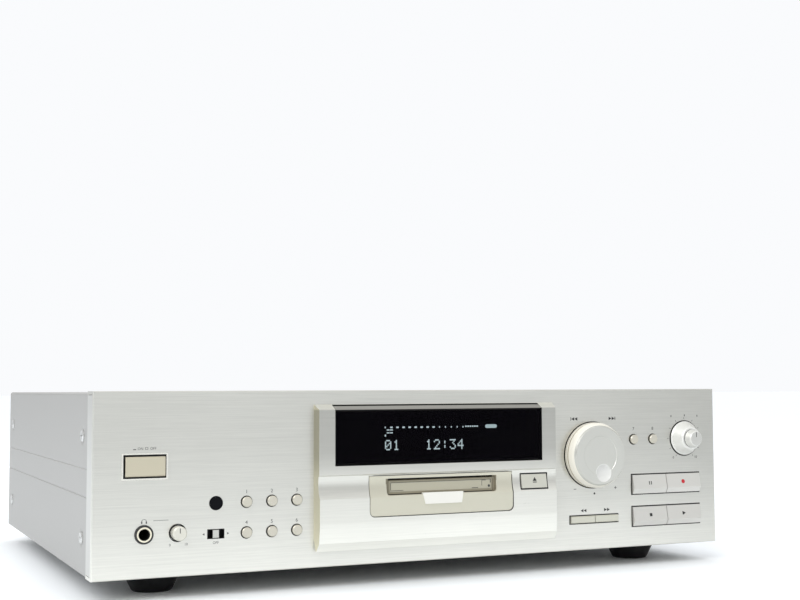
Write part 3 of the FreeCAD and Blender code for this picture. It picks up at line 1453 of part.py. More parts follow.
def pinion_shape():
    """An involute pinion with a tooth pointing straight up into the rack's gap."""
    module = float(S.tooth_module)
    teeth = int(float(S.pinion_teeth))
    pitch_radius = module * teeth / 2
    base_radius = pitch_radius * math.cos(math.radians(PRESSURE_ANGLE))
    tip_radius = pitch_radius + module
    root_radius = pitch_radius - module * ROOT
    spread = math.tan(math.radians(PRESSURE_ANGLE)) - math.radians(PRESSURE_ANGLE)
    half = math.pi / (2 * teeth) - float(S.backlash) / 2 / pitch_radius + spread
    flank = []
    for step in range(FLANK_STEPS + 1):
        radius = base_radius + (tip_radius - base_radius) * step / FLANK_STEPS
        roll = math.sqrt(max((radius / base_radius) ** 2 - 1, 0.0))
        flank.append((radius, half - (roll - math.atan(roll))))
    points = []
    for index in range(teeth):
        middle = math.pi / 2 + index * 2 * math.pi / teeth
        side = [(root_radius, half)] + flank
        points += [(r, middle + a) for r, a in side]
        points += [(r, middle - a) for r, a in reversed(side)]
    points.sort(key=lambda polar: -polar[1])
    corners = [FreeCAD.Vector(0, r * math.cos(a), r * math.sin(a)) for r, a in points]
    wire = Part.makePolygon(corners + corners[:1])
    return Part.Face(wire).extrude(FreeCAD.Vector(float(S.slider_thick), 0, 0))


def make_pinion():
    """The loading pinion on its shaft."""
    gear = doc.addObject("Part::Feature", "Gear")
    gear.Shape = pinion_shape()
    put(gear, (-SLIDER_OUT, back(S.pinion_place), up(PINION_HIGH)))
    reach = MOTOR_FACE + S.moulding
    shaft = rod((-reach, back(S.pinion_place), up(PINION_HIGH)), "X", reach - SLIDER_OUT, S.pinion_shaft)
    keep("loading_pinion", fuse(gear, shaft))


def make_motors():
    """The loading motor, the sled motor and the flat spindle motor."""
    long = S.mech_post * 5
    radius = PITCH_RADIUS + S.moulding
    bore = S.pinion_shaft + S.running
    load = rod((-MOTOR_FACE - long, back(S.pinion_place), up(PINION_HIGH)), "X", long, radius)
    load_bore = rod((-MOTOR_FACE - S.mech_post, back(S.pinion_place), up(PINION_HIGH)), "X",
                    S.mech_post + OVERSHOOT, bore)
    start = ROD_ENDS[1] + S.mech_post
    sled = rod((start, back(ROD_DEEPS[1]), up(S.rod_high)), "X", long, S.mech_post + S.moulding)
    sled_bore = rod((start - OVERSHOOT, back(ROD_DEEPS[1]), up(S.rod_high)), "X", S.mech_post + OVERSHOOT,
                    bore)
    spin = rod((0, back(SPINDLE_DEEP), up(MECH_TOP)), "Z", S.spindle_thick, S.spindle_radius)
    spin_bore = rod((0, back(SPINDLE_DEEP), up(MECH_TOP + S.sheet)), "Z", S.spindle_thick, bore)
    keep("drive_motors", group(cut(load, load_bore), cut(sled, sled_bore), cut(spin, spin_bore)))


def make_rod_and_screw():
    """The sled's guide rod and its lead screw."""
    start = ROD_ENDS[0]
    span = ROD_ENDS[1] + S.mech_post - start
    keep("guide_rod", rod((start, back(ROD_DEEPS[0]), up(S.rod_high)), "X", span, S.rod_radius))
    inner = start + S.mech_post + S.slip
    keep("lead_screw", fuse(
        rod((start, back(ROD_DEEPS[1]), up(S.rod_high)), "X", span + S.mech_post - S.slip, S.spindle_shaft),
        rod((inner, back(ROD_DEEPS[1]), up(S.rod_high)), "X", ROD_ENDS[1] - S.slip - inner, S.rod_radius)))


def make_sled():
    """The optical sled with its lens turret, its nut and the post of the head arm."""
    left = LENS_ACROSS - S.sled_inner
    right = LENS_ACROSS + S.sled_outer
    half = S.rod_spread + S.rod_radius * 2
    top = S.sled_low + S.sled_tall
    plate = block((left, right), (back(SPINDLE_DEEP) - half, back(SPINDLE_DEEP) + half),
                  (up(S.sled_low), up(top)))
    turret = rod((LENS_ACROSS, back(SPINDLE_DEEP), up(top)), "Z", S.lens_tall, S.lens_radius)
    bores = []
    for deep in ROD_DEEPS:
        bores.append(rod((left - OVERSHOOT, back(deep), up(S.rod_high)), "X",
                         right - left + OVERSHOOT * 2, S.rod_radius + S.running))
    post = block((ARM_AXIS, right), (back(SPINDLE_DEEP) - S.head_size, back(SPINDLE_DEEP) + S.head_size),
                 (up(top), up(S.arm_high + S.arm_pin * 3)))
    notch = block((ARM_AXIS - OVERSHOOT, right + OVERSHOOT),
                  (back(SPINDLE_DEEP) - S.head_size / 2 - S.slip,
                   back(SPINDLE_DEEP) + S.head_size / 2 + S.slip),
                  (up(S.arm_high - S.arm_pin * 4), up(S.arm_high + S.arm_pin * 4)))
    pin_way = rod((ARM_AXIS + S.arm_pin * 2, back(SPINDLE_DEEP - S.head_size - OVERSHOOT), up(S.arm_high)),
                  "Y",
                  (S.head_size + OVERSHOOT) * 2, S.arm_pin + S.running)
    keep("optical_sled", fuse(cut(plate, *bores), turret, cut(post, notch, pin_way)))


def make_head_arm():
    """The recording head's arm, pinned on the sled and reaching over the disc."""
    half = S.head_size / 2
    thick = S.arm_thick
    axis = ARM_AXIS + S.arm_pin * 2
    strip = block((LENS_ACROSS - half, axis), (back(SPINDLE_DEEP) - half, back(SPINDLE_DEEP) + half),
                  (up(S.arm_high) - thick / 2, up(S.arm_high) + thick / 2))
    head = block((LENS_ACROSS - half, LENS_ACROSS + half),
                 (back(SPINDLE_DEEP) - half, back(SPINDLE_DEEP) + half),
                 (up(S.arm_high) - thick * 1.2, up(S.arm_high)))
    pin = rod((axis, back(SPINDLE_DEEP - S.head_size), up(S.arm_high)), "Y", S.head_size * 2, S.arm_pin)
    keep("head_arm", fuse(strip, head, pin))


def make_turntable():
    """The turntable with its centring hub, on the spindle's shaft."""
    low = MECH_TOP + S.spindle_thick
    keep("turntable", turned("Z", [
        (0, low - S.spindle_thick / 2), (S.spindle_shaft, low - S.spindle_thick / 2),
        (S.spindle_shaft, low + S.sheet),
        (S.turntable_hub, low + S.sheet), (S.turntable_hub, S.turntable_top - S.moulding),
        (S.turntable_radius, S.turntable_top - S.moulding), (S.turntable_radius, S.turntable_top),
        (S.turntable_hub, S.turntable_top), (S.turntable_hub, S.turntable_top + S.sheet),
        (0, S.turntable_top + S.sheet),
    ], (0, back(SPINDLE_DEEP), S.foot_height)))


# Case
def make_base():
    """The folded tray that everything stands on, with posts for the boards and holes for the feet."""
    low = S.base_lift
    front = S.panel_return + S.seam
    section = [
        (-BASE_HALF, low), (BASE_HALF, low), (BASE_HALF, low + S.base_flange),
        (BASE_HALF - S.sheet, low + S.base_flange),
        (BASE_HALF - S.sheet, BASE_TOP), (-BASE_HALF + S.sheet, BASE_TOP),
        (-BASE_HALF + S.sheet, low + S.base_flange), (-BASE_HALF, low + S.base_flange),
    ]
    tray = slab("XZ", [section], REAR_INNER - front, (0, back(front), S.foot_height))
    across = (-BASE_HALF + S.sheet, BASE_HALF - S.sheet)
    lip_top = up(low + S.base_flange * 2 / 3)
    folds = [
        block(across, (back(front), back(front + S.sheet)), (up(BASE_TOP), up(low + S.base_flange / 2))),
        block(across, (back(REAR_INNER - S.sheet), back(REAR_INNER)), (up(BASE_TOP), lip_top)),
    ]
    tall = (up(BASE_TOP), up(S.side_screw_high + S.upright_over))
    for side in (-1, 1):
        skin = side * BASE_HALF
        inner = side * (BASE_HALF - S.sheet)
        tab = side * (BASE_HALF - S.upright_tab)
        for near, far, fold in ((front, front + S.upright_deep, front),
                                (REAR_INNER - S.upright_deep, REAR_INNER, REAR_INNER - S.sheet)):
            folds.append(block((skin, inner) if side < 0 else (inner, skin), (back(near), back(far)), tall))
            folds.append(block((inner, tab) if side < 0 else (tab, inner),
                               (back(fold), back(fold + S.sheet)), tall))
    posts = []
    for across, deep in STAND_PLACES:
        posts.append(rod((across, deep, up(BASE_TOP)), "Z", S.main_board_lift, S.post))
    holes = [rod((across, deep, up(low - OVERSHOOT)), "Z", S.sheet + OVERSHOOT * 2,
                 S.screw_shank + S.running)
             for across, deep in FOOT_PLACES]
    for deep in SCREW_DEPTHS:
        for high in SCREW_HEIGHTS:
            holes.append(rod((-HALF, back(deep), up(high)), "X", S.case_width, S.screw_shank))
    for across, high in REAR_SCREWS:
        holes.append(rod((across, back(REAR_INNER - S.sheet * 2), up(high)), "Y", S.sheet * 3,
                         S.screw_shank))
    keep("chassis_base", cut(fuse(tray, *folds, *posts), *holes))


def board_corners(board):
    """The places of the stands under a base board's four corners."""
    return [(board[0][0] + S.stand_in, board[1][0] + S.stand_in),
            (board[0][1] - S.stand_in, board[1][0] + S.stand_in),
            (board[0][0] + S.stand_in, board[1][1] - S.stand_in),
            (board[0][1] - S.stand_in, board[1][1] - S.stand_in)]


STAND_PLACES = board_corners(MAIN_BOARD) + board_corners(POWER_BOARD) + [
    ((MAIN_BOARD[0][0] + MAIN_BOARD[0][1]) / 2, (MAIN_BOARD[1][0] + MAIN_BOARD[1][1]) / 2),
]


def make_cover():
    """The folded cover with two pressed lines and dished screw holes in each side."""
    round_out = S.cover_corner
    round_in = round_out - S.sheet
    top = COVER_TOP
    low = S.base_lift / 2
    section = [
        (-COVER_HALF, low), (-SKIN_HALF, low), (-SKIN_HALF, top - round_out, round_in),
        (-SKIN_HALF + round_in, top - S.sheet), (SKIN_HALF - round_in, top - S.sheet, round_in),
        (SKIN_HALF, top - round_out), (SKIN_HALF, low), (COVER_HALF, low),
        (COVER_HALF, top - round_out, -round_out), (COVER_HALF - round_out, top),
        (-COVER_HALF + round_out, top, -round_out), (-COVER_HALF, top - round_out),
    ]
    body = slab("XZ", [section], S.case_depth - COVER_FRONT, (0, back(COVER_FRONT), S.foot_height))
    lines = []
    for high in (S.press_line_upper, S.press_line_lower):
        for side in (-1, 1):
            deep = COVER_HALF - S.press_line_deep
            lines.append([(side * deep, high), (side * (COVER_HALF + S.press_line_deep),
                                                high - S.press_line_high),
                          (side * (COVER_HALF + S.press_line_deep), high + S.press_line_high)])
    pocket(body, "XZ", lines, -OVERSHOOT, S.case_depth)
    tools = []
    for deep in SCREW_DEPTHS:
        for high in SCREW_HEIGHTS:
            tools.append(rod((-HALF, back(deep), up(high)), "X", S.case_width, S.screw_shank + S.running))
            tools.append(cone((-COVER_HALF, back(deep), up(high)), "X", S.dish_deep, S.dish_outer,
                              S.screw_head + S.seam))
            tools.append(cone((COVER_HALF - S.dish_deep, back(deep), up(high)), "X", S.dish_deep,
                              S.screw_head + S.seam, S.dish_outer))
    keep("top_cover", cut(body, *tools))


def screw(axis):
    """A pan-head screw at the origin, its head on the negative side, with a crossed slot."""
    head = S.screw_head
    thick = S.screw_head_thick
    loop = [
        (0, -thick), (head - thick / 2, -thick), (head, -thick / 2), (head, 0),
        (S.screw_shank, 0), (S.screw_shank, S.screw_long), (0, S.screw_long),
    ]
    body = turned(axis, loop, (0, 0, 0))
    arm = head * 0.55
    slot = S.screw_shank / 4
    deep = (-thick - OVERSHOOT, -thick / 2)
    if axis == "X":
        cross = (block(deep, (-arm, arm), (-slot, slot)), block(deep, (-slot, slot), (-arm, arm)))
    elif axis == "Y":
        cross = (block((-arm, arm), deep, (-slot, slot)), block((-slot, slot), deep, (-arm, arm)))
    else:
        cross = (block((-arm, arm), (-slot, slot), deep), block((-slot, slot), (-arm, arm), deep))
    made = cut(body, *cross)
    doc.recompute()
    return made


def make_screws():
    """Every screw of the case: two sides, the rear panel and the feet."""
    side = screw("X")
    seat = COVER_HALF - S.dish_deep
    left = copies(side, [(-seat, back(deep), up(high)) for deep in SCREW_DEPTHS for high in SCREW_HEIGHTS])
    right = []
    for deep in SCREW_DEPTHS:
        for high in SCREW_HEIGHTS:
            made = doc.addObject("Part::Feature", "Copy")
            made.Shape = side.Shape.copy()
            right.append(put(made, (seat, back(deep), up(high)),
                             FreeCAD.Rotation(FreeCAD.Vector(0, 0, 1), 180)))
    rear = []
    rear_screw = screw("Y")
    for across, high in REAR_SCREWS:
        made = doc.addObject("Part::Feature", "Copy")
        made.Shape = rear_screw.Shape.copy()
        rear.append(put(made, (across, back(REAR_FACE), up(high)),
                        FreeCAD.Rotation(FreeCAD.Vector(0, 0, 1), 180)))
    low = S.base_lift - S.foot_ring_thick + S.screw_shank
    feet = copies(screw("Z"), [(across, deep, up(low)) for across, deep in FOOT_PLACES])
    keep("case_screws", group(*left, *right, *rear, *feet))


REAR_SCREWS = [
    (-SKIN_HALF + 10.0, COVER_TOP - 10.0), (SKIN_HALF - 10.0, COVER_TOP - 10.0),
    (-SKIN_HALF + 10.0, S.base_flange / 2), (0.0, S.base_flange / 2), (SKIN_HALF - 10.0, S.base_flange / 2),
]


def make_feet():
    """Four tapered feet, each under a bright ring, screwed to the base."""
    ring_low = S.base_lift - S.foot_ring_thick
    bore = S.screw_head + S.seam
    edge = S.foot_bevel
    feet = []
    rings = []
    for across, deep in FOOT_PLACES:
        feet.append(turned("Z", [
            (bore, 0), (S.foot_bottom - edge, 0), (S.foot_bottom, edge),
            (S.foot_top, S.foot_height + ring_low),
            (bore, S.foot_height + ring_low),
        ], (across, deep, 0)))
        rings.append(turned("Z", [
            (S.screw_shank + S.running, ring_low + S.screw_shank), (bore, ring_low + S.screw_shank),
            (bore, ring_low),
            (S.foot_ring - edge, ring_low), (S.foot_ring, ring_low + edge), (S.foot_ring, S.base_lift),
            (S.screw_shank + S.running, S.base_lift),
        ], (across, deep, S.foot_height)))
    keep("feet", group(*feet))
    keep("foot_rings", group(*rings))


def make_rear():
    """The rear panel with its sockets."""
    low = BASE_TOP
    half = SKIN_HALF - S.seam
    top = COVER_TOP - S.sheet - S.seam
    body = slab("XZ", [rect(-half, half, low, top)], S.sheet, (0, back(REAR_INNER), S.foot_height))
    holes = [circle(across, high, S.phono_radius + S.sheet) for across, high in PHONO_PLACES]
    holes += [rect(across - S.optical_half, across + S.optical_half, high - S.optical_half,
                   high + S.optical_half)
              for across, high in OPTICAL_PLACES]
    wall = S.moulding
    holes.append(around(INLET_ACROSS, S.inlet_high, S.inlet_wide, S.inlet_tall, wall))
    holes += [circle(across, high, S.screw_shank + S.running) for across, high in REAR_SCREWS]
    pocket(body, "XZ", holes, -OVERSHOOT, S.sheet + OVERSHOOT * 2)
    keep("rear_panel", body)
    # Four phono sockets in one block: a barrel with a bore for each plug
    left = PHONO_PLACES[0][0] - S.phono_pitch / 2
    right = PHONO_PLACES[-1][0] + S.phono_pitch / 2
    bottom = PHONO_PLACES[0][1] - S.phono_pitch / 2
    upper = PHONO_PLACES[-1][1] + S.phono_pitch / 2
    deep = S.phono_pitch / 2
    base = block((left, right), (back(REAR_INNER - deep), back(REAR_INNER)), (up(bottom), up(upper)))
    barrels = [rod((across, back(REAR_INNER), up(high)), "Y", S.case_depth + S.socket_reach - REAR_INNER,
                   S.phono_radius)
               for across, high in PHONO_PLACES]
    bores = [rod((across, back(REAR_INNER - deep / 2), up(high)), "Y",
                 S.case_depth + S.socket_reach - REAR_INNER + deep, S.phono_bore) for across,
                 high in PHONO_PLACES]
    keep("phono_sockets", cut(fuse(base, *barrels), *bores))
    optics = []
    for across, high in OPTICAL_PLACES:
        half = S.optical_half - S.seam
        wide = S.optical_half + S.sheet
        behind = block((across - wide, across + wide), (back(REAR_INNER - deep), back(REAR_INNER)),
                       (up(high) - wide, up(high) + wide))
        nose = block((across - half, across + half), (back(REAR_INNER), back(REAR_FACE + S.sheet)),
                     (up(high) - half, up(high) + half))
        inner = half - S.sheet
        well = block((across - inner, across + inner),
                     (back(REAR_FACE - OVERSHOOT), back(REAR_FACE + S.moulding)),
                     (up(high) - inner, up(high) + inner))
        optics.append(cut(fuse(behind, nose), well))
    keep("optical_sockets", group(*optics))
    # The mains inlet: a deep two-pin recess in a moulded shell
    shell = slab("XZ", [around(INLET_ACROSS, S.inlet_high, S.inlet_wide, S.inlet_tall, wall - S.seam)],
                 S.inlet_deep + wall, (0, back(REAR_FACE - S.inlet_deep), S.foot_height))
    well = slab("XZ", [rounded(INLET_ACROSS - S.inlet_wide / 2, INLET_ACROSS + S.inlet_wide / 2,
                               S.inlet_high - S.inlet_tall / 2, S.inlet_high + S.inlet_tall / 2,
                               S.moulding)],
                S.inlet_deep, (0, back(REAR_FACE - S.inlet_deep + wall), S.foot_height))
    pins = [rod((INLET_ACROSS + side * S.inlet_pin_half, back(REAR_FACE - S.inlet_deep), up(S.inlet_high)),
                "Y",
                S.inlet_deep - S.sheet, S.inlet_tall / 7) for side in (-1, 1)]
    brim = slab("XZ", [around(INLET_ACROSS, S.inlet_high, S.inlet_wide, S.inlet_tall, wall + S.sheet)],
                S.sheet, (0, back(REAR_FACE), S.foot_height))
    keep("mains_inlet", fuse(cut(fuse(shell, brim), well), *pins))


PHONO_PLACES = [(S.phono_across + S.phono_pitch * column, S.phono_high + S.phono_pitch * row)
                for row in (0, 1) for column in (0, 1)]
OPTICAL_PLACES = [(S.optical_across, S.optical_high), (S.optical_across + S.optical_pitch, S.optical_high)]


def export_all():
    """Check every object and write each finished piece to its own file."""
    doc.recompute()
    for thing in doc.Objects:
        if any(flag in thing.State for flag in ("Invalid", "Error")):
            raise RuntimeError("%s (%s) is %s" % (thing.Name, thing.Label, thing.State))
    os.makedirs("parts", exist_ok=True)
    for label, thing in nodes.items():
        shape = thing.Shape
        if shape.isNull() or not shape.isValid() or not shape.Solids:
            raise RuntimeError("%s has no valid solid" % label)
        shape.exportStep("parts/%s.step" % label)
    print("%d pieces, %d solids" % (len(nodes), sum(len(thing.Shape.Solids) for thing in nodes.values())))


make_front_panel()
make_end_caps()
make_subframe()
make_bezel()
make_window()
make_door()
make_lip()
make_flap()
make_keys()
make_deck_buttons()
make_search_buttons()
make_eject()
make_power()
make_jog()
make_level_knobs()
make_small_fittings()
make_switches()
make_boards()
make_board_parts()
make_transformer()
make_controls()
make_display_tube()
make_holder()
make_mech_frame()
make_mech_posts()
make_slider()
make_pinion()
make_motors()
make_rod_and_screw()
make_sled()
make_head_arm()
make_turntable()
make_base()
make_cover()
make_screws()
make_feet()
make_rear()
export_all()
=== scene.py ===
"""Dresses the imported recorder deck: finishes, printed marks, the lit display, lights and camera."""

import json
import logging
import math
from dataclasses import dataclass
from enum import Enum
from typing import Dict, List, Optional, Sequence, Tuple, Union

import bmesh
import bpy
from mathutils import Matrix, Vector

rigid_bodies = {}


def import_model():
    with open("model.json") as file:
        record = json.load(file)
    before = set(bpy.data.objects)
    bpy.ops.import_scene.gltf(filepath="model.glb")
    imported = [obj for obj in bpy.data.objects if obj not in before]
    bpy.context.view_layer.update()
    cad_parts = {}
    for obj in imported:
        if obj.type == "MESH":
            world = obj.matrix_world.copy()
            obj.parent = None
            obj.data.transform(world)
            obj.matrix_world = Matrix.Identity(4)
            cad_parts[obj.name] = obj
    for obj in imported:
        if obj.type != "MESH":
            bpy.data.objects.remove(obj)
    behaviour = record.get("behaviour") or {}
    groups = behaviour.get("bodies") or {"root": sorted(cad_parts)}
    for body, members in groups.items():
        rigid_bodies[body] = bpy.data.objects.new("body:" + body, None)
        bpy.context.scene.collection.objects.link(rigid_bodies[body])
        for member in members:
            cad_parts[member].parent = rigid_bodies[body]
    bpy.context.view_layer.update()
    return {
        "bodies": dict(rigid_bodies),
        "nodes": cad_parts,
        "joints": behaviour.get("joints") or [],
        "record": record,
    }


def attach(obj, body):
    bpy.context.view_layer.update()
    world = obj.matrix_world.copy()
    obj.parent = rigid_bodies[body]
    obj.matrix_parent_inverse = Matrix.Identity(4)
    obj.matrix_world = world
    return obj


Colour = Tuple[float, float, float]
Socket = bpy.types.NodeSocket
Material = bpy.types.Material
Point = Tuple[float, float]
LOG = logging.getLogger("deck")
MM = 0.001
FACE = -0.171
FLOOR_TO_PANEL = 0.013
DECK = "deck"
MIX_FACTOR = 0
MIX_FIRST = 6
MIX_SECOND = 7
MIX_RESULT = 2


def back(depth: float) -> float:
    """Turn a depth behind the panel's face in millimetres into a Y place in metres."""
    return FACE + depth * MM


def up(height: float) -> float:
    """Turn a height above the panel's bottom edge in millimetres into a Z place in metres."""
    return FLOOR_TO_PANEL + height * MM


class Axis(Enum):
    """The way that a brushed finish runs."""

    ACROSS = (14.0, 900.0, 900.0)
    DEEP = (900.0, 14.0, 900.0)


class Value:
    """A number socket that can be used in Python expressions."""

    def __init__(self, paint: "Paint", socket: Socket) -> None:
        """Keep the socket and the material that it belongs to."""
        self.paint = paint
        self.socket = socket

    def __add__(self, other: "Number") -> "Value":
        """Add."""
        return self.paint.math("ADD", self, other)

    __radd__ = __add__

    def __sub__(self, other: "Number") -> "Value":
        """Subtract."""
        return self.paint.math("SUBTRACT", self, other)

    def __rsub__(self, other: "Number") -> "Value":
        """Subtract from a plain number."""
        return self.paint.math("SUBTRACT", other, self)

    def __mul__(self, other: "Number") -> "Value":
        """Multiply."""
        return self.paint.math("MULTIPLY", self, other)

    __rmul__ = __mul__

    def __truediv__(self, other: "Number") -> "Value":
        """Divide."""
        return self.paint.math("DIVIDE", self, other)

    def __gt__(self, other: "Number") -> "Value":
        """Give 1 where this is the greater, else 0."""
        return self.paint.math("GREATER_THAN", self, other)

    def __lt__(self, other: "Number") -> "Value":
        """Give 1 where this is the smaller, else 0."""
        return self.paint.math("LESS_THAN", self, other)

    def clamped(self) -> "Value":
        """Keep the value between 0 and 1."""
        return self.paint.math("MULTIPLY", self, 1.0, clamp=True)

    def size(self) -> "Value":
        """Drop the sign."""
        return self.paint.math("ABSOLUTE", self, 0.0)

    def at_least(self, floor: float) -> "Value":
        """Give this or a plain number, whichever is greater."""
        return self.paint.math("MAXIMUM", self, floor)

    def squared(self) -> "Value":
        """Multiply by itself."""
        return self * self

    def root(self) -> "Value":
        """Take the square root."""
        return self.paint.math("SQRT", self, 0.0)


Number = Union[float, Value]
Link = Union[float, Sequence[float], Value, Socket]


class Paint:
    """One material and its nodes."""

    def __init__(self, name: str) -> None:
        """Start an empty node material.

        Args:
            name: The material's name.
        """
        self.material = bpy.data.materials.new(name)
        self.material.use_nodes = True
        self.tree = self.material.node_tree
        self.tree.nodes.clear()
        self.output = self.node("ShaderNodeOutputMaterial")

    def node(self, kind: str, settings: Optional[Dict[str, object]] = None,
             inputs: Optional[Dict[object, Link]] = None) -> bpy.types.Node:
        """Add a node.

        Args:
            kind: The node's type.
            settings: Its own settings, set first. A ramp's stops go under "stops".
            inputs: Values or links by the sockets' names or numbers.

        Returns:
            The new node.
        """
        made = self.tree.nodes.new(kind)
        for key, value in (settings or {}).items():
            if key == "stops":
                self._set_stops(made, value)
            else:
                setattr(made, key, value)
        for key, value in (inputs or {}).items():
            self.feed(made.inputs[key], value)
        return made

    @staticmethod
    def _set_stops(made: bpy.types.Node, stops: Sequence[Tuple[float, Colour]]) -> None:
        """Fill a colour ramp."""
        ramp = made.color_ramp
        while len(ramp.elements) < len(stops):
            ramp.elements.new(0.5)
        for element, (place, colour) in zip(ramp.elements, stops):
            element.position = place
            element.color = (*colour, 1.0)

    def feed(self, socket: Socket, value: Link) -> None:
        """Link a socket, or set its own value.

        Args:
            socket: The socket.
            value: A link, a number, or a colour, which may leave out its alpha.
        """
        if isinstance(value, Value):
            self.tree.links.new(value.socket, socket)
        elif isinstance(value, Socket):
            self.tree.links.new(value, socket)
        elif socket.type == "RGBA" and len(value) == 3:
            socket.default_value = (*value, 1.0)
        else:
            socket.default_value = value

    def math(self, kind: str, first: Number, second: Number, clamp: bool = False) -> Value:
        """Add a Math node and give its result."""
        made = self.node("ShaderNodeMath", {"operation": kind, "use_clamp": clamp}, {0: first, 1: second})
        return Value(self, made.outputs[0])

    def place(self) -> Socket:
        """Give the point on the piece, in metres."""
        return self.node("ShaderNodeTexCoord").outputs["Object"]

    def parts(self, vector: Socket) -> Tuple[Value, Value, Value]:
        """Split a vector into its three numbers."""
        made = self.node("ShaderNodeSeparateXYZ", inputs={0: vector})
        return tuple(Value(self, socket) for socket in made.outputs)

    def radius(self, across: float, high: float) -> Value:
        """Give how far a point lies from an axis that runs towards the viewer, in metres."""
        x, _, z = self.parts(self.place())
        return ((x - across * MM).squared() + (z - up(high)).squared()).root()

    def noise(self, stretch: Sequence[float], detail: float = 3.0, rough: float = 0.55) -> Value:
        """Give noise whose grain is stretched along the axes.

        Args:
            stretch: How many grains there are in a metre along each axis.
            detail: How many finer layers it has.
            rough: How strong the finer layers are.

        Returns:
            The noise, from 0 to 1.
        """
        scaled = self.node("ShaderNodeVectorMath", {"operation": "MULTIPLY"}, {0: self.place(), 1: stretch})
        made = self.node("ShaderNodeTexNoise", {"noise_dimensions": "3D"},
                         {"Vector": scaled.outputs[0], "Scale": 1.0, "Detail": detail, "Roughness": rough})
        return Value(self, made.outputs["Fac"])

    def mix(self, factor: Number, first: Link, second: Link) -> Socket:
        """Mix two colours."""
        made = self.node("ShaderNodeMix", {"data_type": "RGBA"},
                         {MIX_FACTOR: factor, MIX_FIRST: first, MIX_SECOND: second})
        return made.outputs[MIX_RESULT]

    def multiply(self, first: Link, second: Link) -> Socket:
        """Multiply two colours."""
        made = self.node("ShaderNodeMix", {"data_type": "RGBA", "blend_type": "MULTIPLY"},
                         {MIX_FACTOR: 1.0, MIX_FIRST: first, MIX_SECOND: second})
        return made.outputs[MIX_RESULT]

    def bump(self, height: Number, distance: float, strength: float = 1.0) -> Socket:
        """Turn a height into a normal."""
        made = self.node("ShaderNodeBump",
                         inputs={"Height": height, "Distance": distance, "Strength": strength})
        return made.outputs["Normal"]

    def surface(self, inputs: Dict[object, Link]) -> Material:
        """Close the material with a principled shader."""
        shader = self.node("ShaderNodeBsdfPrincipled", inputs=inputs)
        self.tree.links.new(shader.outputs[0], self.output.inputs["Surface"])
        return self.material


def shade(colour: Colour, factor: float) -> Colour:
    """Make a colour lighter or darker."""
    return tuple(min(part * factor, 1.0) for part in colour)


@dataclass(frozen=True)
class Zone:
    """A part of a piece, by its place in millimetres, that is painted another colour: mostly painted shade,
    and on the jog dial also a painted highlight and a painted reflection.
    """

    colour: Colour
    across: Optional[Point] = None
    depth: Optional[Point] = None
    high: Optional[Point] = None
    corner: Optional[float] = None

    def mask(self, paint: Paint) -> Value:
        """Give 1 inside the zone, else 0.

        Args:
            paint: The material that asks.

        Returns:
            The mask. With a corner, the zone is a rounded rectangle seen from the front.
        """
        x, y, z = paint.parts(paint.place())
        spans = [(y, self.depth, back)]
        if self.corner is None:
            spans += [(x, self.across, lambda place: place * MM), (z, self.high, up)]
        inside: Number = 1.0
        for value, span, turn in spans:
            if span is not None:
                inside = (value > turn(span[0])) * (value < turn(span[1])) * inside
        if self.corner is not None:
            inside = (self._outside(x, z) < self.corner * MM) * inside
        return inside

    def _outside(self, x: Value, z: Value) -> Value:
        """Give how far a point lies outside the rectangle drawn in by the corner radius."""
        left, right = (place * MM for place in self.across)
        low, top = (up(place) for place in self.high)
        radius = self.corner * MM
        aside = ((x - (left + right) / 2).size() - ((right - left) / 2 - radius)).at_least(0.0)
        over = ((z - (low + top) / 2).size() - ((top - low) / 2 - radius)).at_least(0.0)
        return (aside.squared() + over.squared()).root()


@dataclass(frozen=True)
class Fade:
    """Painted light and shade: how much lighter or darker a finish is painted at each height above the
    panel's bottom, and on its right.

    Places are in millimetres. The right side fades from one place to another, down to a level.
    """

    stops: Tuple[Point, ...]
    right_from: float = 100.0
    right_to: float = 215.0
    right_level: float = 1.0

    def factor(self, paint: Paint) -> Socket:
        """Give the grey that the colour is multiplied by, at half its value."""
        low, top = self.stops[0][0], self.stops[-1][0]
        x, _, z = paint.parts(paint.place())
        place = (z - up(low)) / ((top - low) * MM)
        stops = [((high - low) / (top - low), (level / 2,) * 3) for high, level in self.stops]
        grey = paint.node("ShaderNodeValToRGB", {"stops": stops}, {"Fac": place}).outputs["Color"]
        if self.right_level == 1.0:
            return grey
        aside = ((x - self.right_from * MM) / ((self.right_to - self.right_from) * MM)).clamped()
        return paint.multiply(grey, paint.mix(aside, (1.0, 1.0, 1.0), (self.right_level,) * 3))


@dataclass(frozen=True)
class Finish:
    """What every finish has: a name, a colour, places of another colour and painted light and shade over its
    height.
    """

    name: str
    colour: Colour
    zones: Tuple[Zone, ...] = ()
    fade: Optional[Fade] = None

    def shaded(self, paint: Paint, colour: Link, metallic: float) -> Tuple[Link, Link]:
        """Add the painted light and shade over the height, and the zones, to a colour.

        Args:
            paint: The material.
            colour: The colour so far.
            metallic: How metallic the finish is outside the zones.

        Returns:
            The colour and how metallic it is.
        """
        metal: Link = metallic
        if self.fade is not None:
            half = paint.multiply(colour, self.fade.factor(paint))
            colour = paint.multiply(half, (2.0, 2.0, 2.0))
        for zone in self.zones:
            mask = zone.mask(paint)
            colour = paint.mix(mask, colour, zone.colour)
            metal = (1.0 - mask) * metal
        return colour, metal


